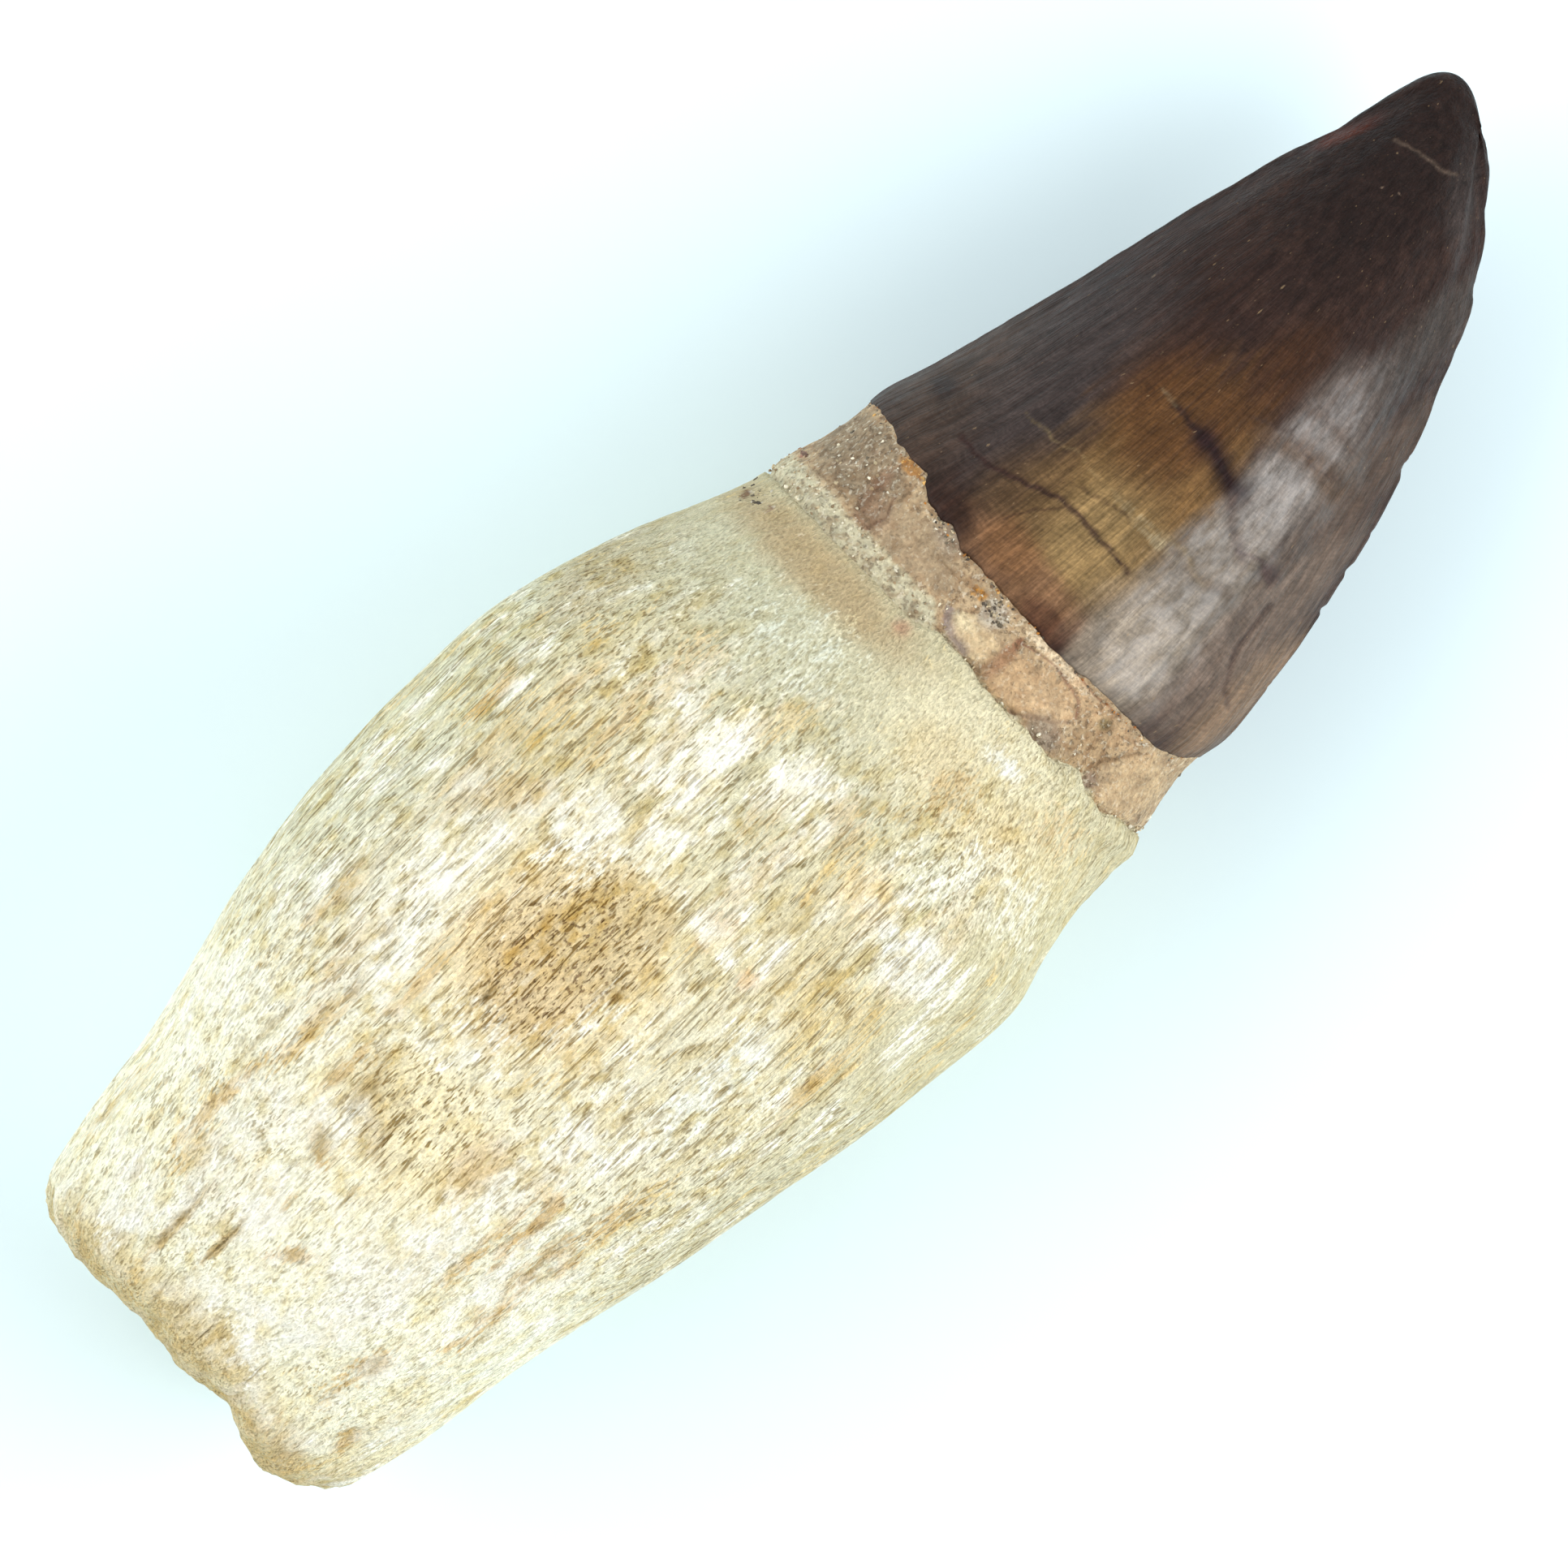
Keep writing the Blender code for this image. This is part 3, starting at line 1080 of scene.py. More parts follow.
@dataclass(frozen=True)
class DentineFinish:
    """Rough dentine and the sandy matrix that sticks to it."""

    name: str = "neck_dentine"
    dark_grain: Colour = (96, 76, 54)
    pale_grain: Colour = (244, 236, 214)
    dirt: Colour = (112, 80, 46)
    umber: Colour = (176, 138, 98)
    blotch: Streaks = Streaks(1.1, 1.1, 7.0, 0.3, 0.7, 7.0)
    soft: Streaks = Streaks(1.3, 1.3, 5.0, 0.34, 0.66, 17.0)
    mottle: Streaks = Streaks(0.7, 0.7, 4.0, 0.46, 0.62, 57.0)
    pale: Streaks = Streaks(0.34, 0.34, 3.0, 0.56, 0.64, 29.0)
    dark: Streaks = Streaks(0.36, 0.36, 3.0, 0.57, 0.65, 37.0)
    grain: Streaks = Streaks(0.26, 0.26, 3.0, 0.32, 0.68, 43.0)
    depth: float = 0.0003
    roughness: float = 0.76
    specular: float = 0.3

    def build(self, effects: SurfaceEffects) -> bpy.types.Material:
        """Makes the material.

        Args:
            effects: The shared shader groups.

        Returns:
            The material.
        """
        work = Finish(self.name, effects)
        wiring = work.wiring
        grain = work.layer(self.grain)
        breakup = wiring.times(wiring.plus(work.layer(self.blotch), grain), 0.5)
        colour = work.stained(breakup, 0.8)
        mottle = work.layer(self.mottle, wiring.times(work.streak, 0.42))
        colour = work.tinted(colour, mottle, self.umber)
        pale = work.layer(self.pale, wiring.times(work.streak, 0.26))
        colour = wiring.mix(pale, colour, wiring.colour(self.pale_grain))
        dark = work.layer(self.dark, wiring.times(work.streak, 0.45))
        colour = wiring.mix(dark, colour, wiring.colour(self.dark_grain))
        colour = work.shaded(colour, work.layer(self.soft), 0.86, 1.24)
        colour = work.shaded(colour, grain, 0.84, 1.2)
        colour = work.darkened_in_hollows(colour, self.dirt, 0.8)
        height = wiring.plus(wiring.minus(pale, dark), wiring.times(grain, 0.4))
        return work.close(colour, height, self.depth, self.roughness, self.specular)


@dataclass(frozen=True)
class EnamelFinish:
    """Satin enamel with fine ribs along it, dulled where it is worn."""

    name: str = "enamel"
    fleck: Colour = (150, 124, 92)
    dirt: Colour = (34, 20, 17)
    blotch: Streaks = Streaks(5.0, 1.4, 5.0, 0.3, 0.7, 7.0)
    ribs: Streaks = Streaks(9.0, 0.26, 3.0, 0.34, 0.66, 13.0)
    lines: Streaks = Streaks(3.6, 0.7, 6.0, 0.36, 0.64, 19.0)
    flecks: Streaks = Streaks(0.8, 0.5, 2.0, 0.72, 0.76, 29.0)
    wear: Streaks = Streaks(1.6, 1.0, 7.0, 0.36, 0.64, 37.0)
    cross: Streaks = Streaks(0.24, 1.5, 3.0, 0.36, 0.64, 91.0)
    cloud: Streaks = Streaks(2.4, 1.2, 7.0, 0.36, 0.64, 67.0)
    grain: Streaks = Streaks(0.34, 0.22, 3.0, 0.3, 0.7, 43.0)
    smooth: float = 0.34
    worn: float = 0.48
    coat_roughness: float = 0.26
    specular: float = 0.08
    depth: float = 0.00008

    def build(self, effects: SurfaceEffects) -> bpy.types.Material:
        """Makes the material.

        Args:
            effects: The shared shader groups.

        Returns:
            The material.
        """
        work = Finish(self.name, effects)
        wiring = work.wiring
        ribs, lines, grain = work.layer(self.ribs), work.layer(self.lines), work.layer(self.grain)
        breakup = wiring.times(wiring.plus(work.layer(self.blotch), ribs), 0.5)
        colour = work.stained(breakup, 0.55)
        ribbed = work.shaded(colour, ribs, 0.74, 1.16)
        colour = wiring.mix(work.streak, colour, ribbed)
        colour = work.shaded(colour, lines, 0.85, 1.17)
        colour = work.shaded(colour, work.layer(self.cross), 0.88, 1.14)
        colour = work.shaded(colour, work.layer(self.cloud), 0.84, 1.23)
        colour = work.shaded(colour, grain, 0.8, 1.2)
        colour = wiring.mix(work.layer(self.flecks, 0.4), colour, wiring.colour(self.fleck))
        colour = work.darkened_in_hollows(colour, self.dirt, 0.75)
        rough = wiring.node("ShaderNodeMapRange", {"To Min": self.smooth, "To Max": self.worn})
        wear = work.layer(self.wear)
        wiring.feed(rough.inputs["Value"], wear)
        gloss = wiring.times(wiring.attribute("gloss", "Fac"), wiring.minus(1.25, wear))
        gloss = wiring.times(gloss, 1.15, clamp=True)
        wiring.feed(work.shader.inputs["Coat Weight"], gloss)
        work.shader.inputs["Coat Roughness"].default_value = self.coat_roughness
        height = wiring.plus(wiring.times(ribs, 0.8), lines)
        return work.close(colour, height, self.depth, rough.outputs[0], self.specular)


@dataclass(frozen=True)
class GrainFinish:
    """Loose grains, each in its own colour."""

    name: str = "matrix_grains"
    roughness: float = 0.7

    def build(self) -> bpy.types.Material:
        """Makes the material.

        Returns:
            The material.
        """
        made = bpy.data.materials.new(self.name)
        made.use_nodes = True
        wiring = Wiring(made.node_tree)
        shader = made.node_tree.nodes["Principled BSDF"]
        wiring.feed(shader.inputs["Base Color"], wiring.attribute("tint", "Color"))
        shader.inputs["Roughness"].default_value = self.roughness
        return made


# ---------------------------------------------------------------- the tooth's regions

ENAMEL_RIM: Path = (
    (81.2, 14.2), (81.1, 12.3), (80.5, 11.0), (80.4, 9.0), (80.6, 8.0), (79.8, 7.5), (79.2, 6.4),
    (78.9, 4.9), (79.3, 4.1), (78.4, 2.4), (78.5, 1.1), (78.4, -1.1), (78.3, -3.3), (78.3, -5.4),
    (78.0, -7.1), (78.2, -8.6), (78.4, -10.8), (78.5, -14.0), (78.4, -16.8), (79.1, -18.3), (80.6, -19.6),
)  # fmt: skip
DENTINE_EDGE: Path = (
    (75.0, 14.4), (74.8, 11.8), (74.6, 9.0), (74.8, 7.1), (74.7, 4.1), (74.8, 2.4), (74.6, 1.1),
    (73.8, -0.2), (73.4, -2.2), (73.2, -4.3), (73.0, -6.3), (73.5, -7.8), (72.8, -9.7), (72.7, -11.9),
    (74.3, -14.4), (73.1, -15.7), (72.7, -17.0), (73.3, -18.3), (73.5, -19.6),
)  # fmt: skip
ROOT_LEDGE: Path = (
    (72.7, 15.6), (72.6, 8.0), (72.6, 1.0), (73.3, -0.4), (73.2, -2.2), (72.9, -4.3), (72.6, -6.3),
    (72.7, -9.7), (72.4, -11.9), (73.6, -14.4), (72.7, -15.7), (72.4, -17.0), (73.0, -18.3), (73.2, -20.0),
)  # fmt: skip


@dataclass
class Root:
    """The thick fibrous root, from its broken end to the ledge at the neck."""

    form: Form
    upper_columns: int = 420
    lower_columns: int = 170
    end_rows: int = 34
    body_rows: int = 126
    lip: float = 0.45
    flute_height: float = 0.16
    groove_depth: float = 0.22
    scattered_pits: int = 560
    stain_sink: float = 0.12
    inner_end: float = 75.4
    ochre: Colour = (226, 204, 150)
    end_stain: Colour = (214, 190, 136)
    # painted shade along the upper edge, where the root rounds away
    upper_edge_shade: Colour = (216, 214, 184)
    # painted shade along the lower edge, where the root turns down
    low_side: Colour = (210, 200, 165)
    clean_side: Colour = (220, 211, 175)
    collar: tuple[float, float] = (58.0, 68.0)
    big_dent: Oval = Oval(39.4, 2.0, 8.0, 6.6)
    dent_floor: Oval = Oval(39.6, 2.0, 7.5, 6.4)
    small_dent: Oval = Oval(24.0, 0.6, 5.0, 6.0)
    stops: tuple[tuple[float, Colour], ...] = (
        (0.0, (226, 212, 166)),
        (2.5, (232, 222, 182)),
        (6.0, (255, 252, 224)),
        (20.0, (255, 252, 226)),
        (34.0, (238, 232, 204)),
        (48.0, (228, 222, 190)),
        (58.0, (222, 217, 185)),
        (64.0, (211, 207, 176)),
        (71.0, (208, 200, 166)),
        (80.0, (208, 200, 166)),
    )
    patches: tuple[Patch, ...] = (
        Wash(61.5, 18.8, 6.6, 2.6, (198, 186, 153), 0.8, softness=0.3),
        Wash(66.0, 15.4, 4.0, 2.6, (206, 194, 162), 0.7),
        Wash(65.0, 9.5, 5.4, 8.0, (207, 204, 174), 0.8, softness=0.4),
        Wash(67.6, -12.5, 2.9, 6.0, (222, 204, 158), 0.6, softness=0.4),
        Wash(70.7, 8.4, 2.0, 8.8, (184, 161, 122), 0.85, softness=0.6),
        Wash(71.9, 1.6, 0.5, 0.65, (186, 134, 108), 0.6, softness=0.75),
        Wash(39.8, 2.2, 8.8, 7.6, (246, 230, 186), 0.9, softness=0.4),
        Wash(39.6, 2.0, 7.6, 6.2, (234, 215, 172), 0.9, softness=0.25),
        Wash(37.8, 2.2, 5.2, 4.2, (226, 199, 150), 0.6, softness=0.6),
        Wash(43.4, 0.4, 3.8, 3.0, (218, 197, 150), 0.6, softness=0.6),
        Wash(23.8, 0.4, 5.2, 6.6, (250, 238, 198), 0.9, softness=0.4),
        Wash(23.4, 3.8, 2.8, 2.2, (226, 210, 164), 0.7, softness=0.6),
        Wash(25.0, -4.4, 2.8, 1.8, (236, 212, 158), 0.6, softness=0.6),
        Wash(43.0, -13.0, 12.0, 4.6, (230, 219, 182), 0.4),
        Wash(68.0, -9.6, 5.6, 8.4, (238, 229, 194), 0.75, softness=0.4),
        Wash(67.4, -6.4, 2.2, 2.4, (220, 200, 154), 0.5, softness=0.6),
        Wash(66.2, -13.6, 2.4, 3.0, (226, 206, 160), 0.5, softness=0.6),
        Wash(3.0, 9.6, 1.3, 3.4, (222, 202, 150), 0.7),
        Wash(3.6, 0.4, 2.0, 5.0, (222, 200, 146), 0.75),
        Wash(2.0, -9.0, 1.3, 1.8, (211, 189, 148), 0.6),
        Wash(6.4, -13.4, 5.0, 1.9, (232, 214, 166), 0.6),
        Wash(54.0, 13.0, 8.0, 5.0, (222, 204, 156), 0.35, softness=0.6),
        Wash(52.0, -8.6, 8.0, 3.6, (220, 200, 150), 0.35, softness=0.6),
        Patch(38.4, 1.4, 5.4, 3.4, (207, 185, 144), 0.25),
        Patch(36.4, 7.8, 3.6, 1.0, (237, 215, 169), 0.7),
        Patch(23.4, 4.9, 3.0, 1.3, (207, 189, 146), 0.45, lean=0.25),
        Patch(21.4, 1.6, 1.4, 2.8, (204, 186, 143), 0.5, lean=0.6),
        Patch(30.8, 7.4, 3.0, 0.9, (215, 192, 145), 0.6),
        Patch(25.4, -4.6, 2.6, 1.4, (225, 199, 148), 0.6),
        Patch(27.3, -8.2, 0.4, 2.4, (224, 202, 155), 0.65),
        Patch(21.4, -8.6, 4.0, 0.6, (215, 188, 136), 0.7),
        Patch(24.6, -10.0, 4.0, 0.6, (211, 183, 132), 0.7),
        Patch(20.4, -12.2, 6.0, 0.8, (210, 183, 133), 0.6),
        Patch(27.0, -13.4, 4.0, 0.9, (218, 192, 142), 0.6),
        Patch(10.0, -9.0, 2.4, 0.9, (215, 190, 140), 0.6, lean=-0.2),
        Patch(5.6, -11.6, 1.2, 0.8, (215, 188, 136), 0.7),
        Patch(9.0, 4.2, 3.0, 0.3, (207, 185, 136), 0.8, softness=0.5, lean=-0.03),
        Patch(8.0, 7.4, 3.4, 0.4, (215, 195, 148), 0.8, softness=0.5, lean=0.06),
        Patch(12.0, 10.0, 3.0, 1.1, (232, 210, 160), 0.6),
        Patch(16.2, 11.3, 4.6, 0.5, (225, 199, 146), 0.75, softness=0.5),
        Patch(11.5, 16.2, 4.2, 0.5, (227, 211, 166), 0.6, softness=0.5),
        Patch(31.4, 15.7, 3.4, 0.6, (217, 195, 146), 0.65, softness=0.5),
        Patch(23.2, 6.8, 2.6, 0.45, (221, 197, 148), 0.7, softness=0.5),
        Patch(18.6, 4.2, 1.4, 1.1, (208, 182, 132), 0.8, lean=0.9),
        Patch(14.2, 2.9, 1.1, 0.35, (209, 185, 138), 0.6),
        Patch(11.6, 0.4, 1.4, 0.8, (217, 190, 140), 0.7, lean=-0.8),
        Patch(24.0, 10.4, 5.0, 0.8, (220, 196, 146), 0.6),
        Patch(30.0, 12.4, 5.0, 0.9, (220, 198, 151), 0.5),
        Patch(44.0, 15.0, 5.0, 1.2, (219, 202, 158), 0.6),
        Patch(45.0, 12.0, 2.4, 1.9, (217, 195, 146), 0.75, lean=-0.7),
        Patch(48.6, 18.0, 2.6, 0.6, (220, 192, 138), 0.6),
        Patch(52.4, 14.4, 3.4, 0.8, (220, 199, 152), 0.6),
        Patch(54.6, 10.4, 4.4, 1.2, (220, 199, 153), 0.55),
        Patch(60.4, 10.0, 2.4, 1.6, (220, 202, 161), 0.5),
        Patch(55.0, 7.0, 5.0, 0.8, (214, 198, 156), 0.5),
        Patch(61.6, 2.6, 2.6, 1.2, (221, 203, 156), 0.6, lean=-0.3),
        Patch(56.4, -1.0, 3.6, 1.2, (215, 199, 158), 0.5),
        Patch(53.0, -3.6, 4.2, 1.0, (217, 199, 156), 0.5),
        Patch(60.0, -5.2, 2.6, 1.4, (211, 193, 152), 0.6),
        Patch(48.2, -4.4, 1.4, 1.1, (223, 193, 138), 0.75),
        Patch(47.4, -8.2, 0.8, 0.8, (217, 183, 128), 0.75),
        Patch(57.2, -10.0, 2.2, 2.2, (233, 211, 160), 0.7),
        Patch(49.7, -13.4, 4.4, 2.8, (225, 211, 169), 0.5),
        Patch(45.4, -16.6, 3.4, 0.7, (215, 190, 139), 0.6),
        Patch(60.4, -15.4, 2.4, 1.6, (218, 201, 158), 0.55),
        Patch(69.6, -16.0, 1.8, 2.0, (220, 199, 155), 0.5),
        Patch(66.4, -9.0, 2.0, 1.8, (215, 193, 148), 0.6),
        Patch(62.9, -8.3, 1.0, 1.0, (191, 177, 139), 0.5),
        Patch(35.0, 11.2, 8.5, 2.2, CHALK, 0.61),
        Patch(46.6, 7.2, 2.4, 1.8, CHALK, 0.70),
        Patch(48.0, 1.0, 0.8, 6.0, (244, 238, 212), 0.6),
        Patch(47.6, -4.6, 0.9, 2.4, CHALK, 0.61, lean=1.2),
        Patch(56.4, 4.4, 4.2, 1.7, CHALK, 0.78),
        Patch(52.4, 6.4, 1.4, 0.9, CHALK, 0.57),
        Patch(59.4, -1.6, 2.4, 1.7, CHALK, 0.70, lean=-0.4),
        Patch(56.3, -15.2, 2.4, 2.9, (248, 248, 238), 0.8),
        Patch(63.5, -16.0, 3.0, 4.0, (240, 236, 214), 0.5),
        Patch(20.6, 4.4, 2.0, 2.0, CHALK, 0.74),
        Patch(11.0, 5.6, 3.4, 1.4, CHALK, 0.61),
        Patch(15.0, 8.4, 5.0, 1.4, CHALK, 0.57),
        Patch(13.5, -4.0, 3.8, 3.0, CHALK, 0.57),
        Patch(17.5, -6.8, 4.5, 1.2, CHALK, 0.66),
        Patch(25.5, -7.2, 3.5, 1.3, CHALK, 0.66),
        Patch(32.5, -8.4, 4.0, 1.8, (250, 250, 238), 0.7),
        Patch(41.0, -11.8, 5.0, 1.6, (240, 242, 228), 0.6),
        Patch(66.0, 5.0, 3.0, 5.0, (222, 224, 204), 0.4),
        Patch(70.3, -10.2, 0.8, 1.6, (240, 240, 228), 0.62, softness=0.7, lean=0.3),
        Patch(70.8, 15.6, 0.45, 0.3, (130, 104, 80), 0.7),
        Patch(71.2, 13.8, 0.3, 0.3, (140, 110, 84), 0.7),
    )
    pits: tuple[Pit, ...] = (
        Pit(18.2, 4.4, 1.3, 0.9, 0.45),
        Pit(32.2, 11.5, 1.3, 0.4, 0.4),
        Pit(27.7, 10.1, 0.9, 0.45, 0.35),
        Pit(9.1, 4.2, 2.7, 0.18, 0.3),
        Pit(7.8, 7.4, 2.8, 0.22, 0.25),
        Pit(8.1, 11.9, 1.1, 0.4, 0.3),
        Pit(11.7, 0.2, 0.9, 0.8, 0.35),
        Pit(14.4, 2.9, 0.8, 0.22, 0.25),
        Pit(23.2, 4.6, 1.6, 0.7, 0.35),
        Pit(10.2, -9.4, 1.6, 0.6, 0.35),
        Pit(5.7, -11.4, 0.8, 0.5, 0.35),
        Pit(33.9, 3.6, 1.3, 0.4, 0.6),
        Pit(34.6, -9.2, 0.4, 0.35, 0.5),
        Pit(36.3, -10.8, 1.2, 0.3, 0.35),
        Pit(41.1, -8.8, 0.6, 0.35, 0.35),
        Pit(40.6, -12.6, 1.2, 0.35, 0.4),
        Pit(1.6, -9.0, 0.6, 0.9, 0.5),
        Pit(22.0, 12.4, 3.0, 0.3, 0.3),
        Pit(30.0, 13.4, 2.4, 0.3, 0.3),
        Pit(24.5, -12.2, 2.8, 0.35, 0.3),
        Pit(31.0, -14.0, 2.6, 0.35, 0.3),
        Pit(17.0, -13.0, 2.2, 0.35, 0.3),
    )

    def build(self) -> bpy.types.Object:
        """Makes the root's mesh.

        Returns:
            The root, with its values stored for its finish.
        """
        skin = self._skin()
        self._carve(skin)
        self._colour(skin)
        outer_end = self.form.surface(np.array(self.form.first), np.array(0.0))
        return SkinMesh("root", skin, self.form, (outer_end, self.form.hub(self.inner_end))).object

    def _skin(self) -> Skin:
        """Lays the rings: over the end, along the body and over the lip into the neck.

        Returns:
            The skin, with no relief or colour yet.
        """
        turn = turns_round(self.upper_columns, self.lower_columns)
        noise = GradientNoise(11)
        round_trip = ring_places(turn)
        ledge = self.form.line_by_turn(ROOT_LEDGE, 72.5, turn, 0.5 * noise.at(round_trip, (3, 3, 3)))
        low_side = fade(-np.cos(turn), -0.05, 0.2)
        ledge = ledge + (0.08 + 0.3 * low_side) * noise.layered(round_trip, (1, 0.7, 0.7), 3)
        hub = self.form.sizes.root_hub
        end = np.linspace(self.form.first, hub, self.end_rows, endpoint=False)[1:]
        body = np.linspace(0, 1, self.body_rows)[:, None] ** 0.97
        rows = [np.broadcast_to(end[:, None], (len(end), len(turn))), hub + body * (ledge - hub)[None]]
        lip_in = (ledge + 0.15)[None]
        rows += [lip_in, np.full((1, len(turn)), self.inner_end)]
        station = np.concatenate(rows)
        sink = np.zeros(station.shape)
        sink[-3] = 0.05
        sink[-2] = self.lip
        sink[-1] = 3.0
        turns = np.broadcast_to(turn, station.shape)
        return Skin(self.form.surface(station, turns, sink), turns, straight=True)

    def _carve(self, skin: Skin) -> None:
        """Adds flutes, fibre grooves and pits to the surface.

        Args:
            skin: The root's skin.
        """
        noise = GradientNoise(3)
        fade_end = fade(skin.along, 0.5, 4.0)
        calm = 1 - 0.75 * fade(skin.along, *self.collar) * fade(skin.across, -9, -2)
        flutes = noise.at(skin.fibre, (24, 2.4, 2.4))
        strands = noise.at(skin.fibre + 50, (11, 0.85, 0.85))
        fine = noise.at(skin.fibre + 90, (6, 0.5, 0.5))
        fine *= 0.4 + 0.6 * skin.upper
        groove = fade(strands, 0.12, 0.62) + 0.6 * fade(fine, 0.2, 0.7)
        groove *= (0.45 + 0.55 * fade_end) * calm
        skin.height += self.flute_height * flutes - self.groove_depth * groove * 0.7
        skin.cavity += 0.1 * groove * groove
        for pit in self.pits:
            self._sink_pit(skin, pit, skin.upper)
        self._scatter_pits(skin)
        stain = bell(self.dent_floor.off(skin.along, skin.across) ** 2)
        crumble = noise.layered(skin.fibre + 140, (1.6, 0.9, 0.9), 2)
        skin.height -= self.stain_sink * skin.upper * stain * (1 + 1.5 * crumble)
        wrinkles = noise.layered(skin.points, (1.7, 2.4, 2.4), 3)
        rolled = 1 - fade(skin.along, 2.6, 5.4)
        skin.height += 0.5 * rolled * wrinkles
        # dirt and painted shade in the wrinkles' hollows
        skin.cavity += 0.9 * rolled * fade(-wrinkles, 0.05, 0.5)
        skin.height += 0.35 * bell((skin.along - 72.2) / 0.9) * fade(-skin.across, -2.0, 1.0)
        skin.height += 0.12 * fade(skin.along, 62, 70) * noise.layered(skin.points + 60, (1.1, 1.1, 1.1), 3)

    @staticmethod
    def _sink_pit(skin: Skin, pit: Pit, where: np.ndarray) -> None:
        """Sinks one placed pit, with a crumbled border.

        Args:
            skin: The root's skin.
            pit: The pit.
            where: How strongly it counts at each point.
        """
        off = pit.off(skin.along, skin.across)
        near = off < 2.5
        off[near] += 0.7 * GradientNoise(61).layered(skin.points[near], (0.9, 0.5, 0.5), 2)
        mask = (1 - fade(off, 0.2, 1.1)) * where
        skin.height -= pit.depth * mask
        skin.cavity += 0.6 * mask

    def _scatter_pits(self, skin: Skin) -> None:
        """Sinks many small pits along the fibres, most of them towards the root's end.

        Args:
            skin: The root's skin.
        """
        rng = np.random.default_rng(29)
        row_along = skin.along.mean(axis=1)
        for _ in range(self.scattered_pits):
            place = 2.0 + 62.0 * rng.random() ** 1.25
            turn = rng.random() * 2 * math.pi
            half_length = rng.uniform(0.4, 1.5)
            half_turn = rng.uniform(0.1, 0.22) / 19
            depth = rng.uniform(0.08, 0.22)
            near = np.flatnonzero(np.abs(row_along - place) < 1.3 * half_length)
            gap = np.abs((skin.turn[0] - turn + math.pi) % (2 * math.pi) - math.pi)
            beside = np.flatnonzero(gap < 1.3 * half_turn)
            if not len(near) or not len(beside):
                continue
            block = np.ix_(near, beside)
            off = np.hypot((skin.along[block] - place) / half_length, gap[beside] / half_turn)
            mask = 1 - fade(off, 0.3, 1.2)
            skin.height[block] -= depth * mask
            skin.cavity[block] += 0.22 * mask

    def _colour(self, skin: Skin) -> None:
        """Tints the bone by place, and says where its streaks are strong.

        Args:
            skin: The root's skin.
        """
        places = [place for place, _ in self.stops]
        tints = np.array([linear(colour) for _, colour in self.stops])
        for channel in range(3):
            skin.tint[..., channel] = np.interp(skin.along, places, tints[:, channel])
        noise = GradientNoise(5)
        cloud = noise.layered(skin.points, (9, 3.4, 3.4), 4)
        ragged = noise.layered(skin.fibre, (2.6, 1.1, 1.1), 3)
        open_bone = 1 - fade(skin.along, *self.collar)
        skin.lay_stain(CHALK, 0.45 * fade(cloud, -0.05, 0.3) * (0.1 + 0.9 * open_bone))
        left = 1 - fade(skin.along, 20, 30)
        worn = 0.45 * fade(-cloud, 0.05, 0.4) * (0.5 + 0.5 * open_bone)
        skin.lay_stain(self.ochre, worn * (1 - 0.3 * left))
        skin.lay_stain(self.end_stain, 0.62 * (1 - fade(skin.along + 2.5 * ragged, 0.8, 4.2)))
        # painted shade along the upper edge, where the root rounds away
        skin.wash(self.upper_edge_shade, 0.6 * fade(skin.across, 14, 19) * fade(skin.along, 20, 34))
        # painted shade: the greyish bevel along the lower edge
        skin.wash(self.low_side, 0.6 * fade(-skin.across, 13, 19) * fade(skin.along, 14, 30))
        clean = fade(-skin.across, 14, 17) * fade(skin.along, 44, 52) * (1 - fade(skin.along, 66, 70))
        skin.wash(self.clean_side, 0.8 * clean)
        skin.lay_patches(self.patches, ragged)
        self._bleach(skin, (0.08 + 0.5 * fade(cloud, -0.1, 0.3) + 0.35 * left) * open_bone, ragged)
        stain = self._in_dents(skin, 0.4, 1.1, 0.6)
        plain = 0.8 - 0.1 * left - 0.2 * left * fade(cloud, -0.3, 0.1)
        skin.streak = plain * (1 - stain) + 1.25 * stain
        skin.streak *= 1 - 0.6 * fade(skin.along, 57, 71) * fade(skin.across, -12, -2)
        skin.streak *= 1 - 0.4 * fade(skin.along, 63, 71)
        skin.streak *= 1 - 0.4 * clean

    def _in_dents(self, skin: Skin, start: float, end: float, weaker: float = 1.0) -> np.ndarray:
        """Tells which points lie in the two dents.

        Args:
            skin: The root's skin.
            start: Share of a dent's half size up to which the value is full.
            end: Share of a dent's half size from which it is nothing.
            weaker: Strength of the small dent.

        Returns:
            Values of 0 to 1.
        """
        big = 1 - fade(self.big_dent.off(skin.along, skin.across), start, end)
        small = 1 - fade(self.small_dent.off(skin.along, skin.across), start, end)
        return skin.upper * np.maximum(big, weaker * small)

    def _bleach(self, skin: Skin, weathered: np.ndarray, ragged: np.ndarray) -> None:
        """Says where the bone is bleached white, apart from the dents and the broken end.

        Args:
            skin: The root's skin.
            weathered: How far each point is bleached by weather alone.
            ragged: Noise that roughens the white patches' edges.
        """
        low = fade(-skin.across, 9.0, 16.0) * fade(skin.along, 14, 30)
        clear = 1 - self._in_dents(skin, 0.85, 1.25)
        # less bleach on the lower side is part of its painted shade
        skin.bleach = weathered * clear * fade(skin.along, 1.0, 4.0) * (1 - 0.5 * low)
        for patch in self.patches:
            if min(patch.colour) > 225:
                mask = skin.mark(patch, ragged)
                skin.bleach = np.maximum(skin.bleach, 0.88 * mask * patch.strength)


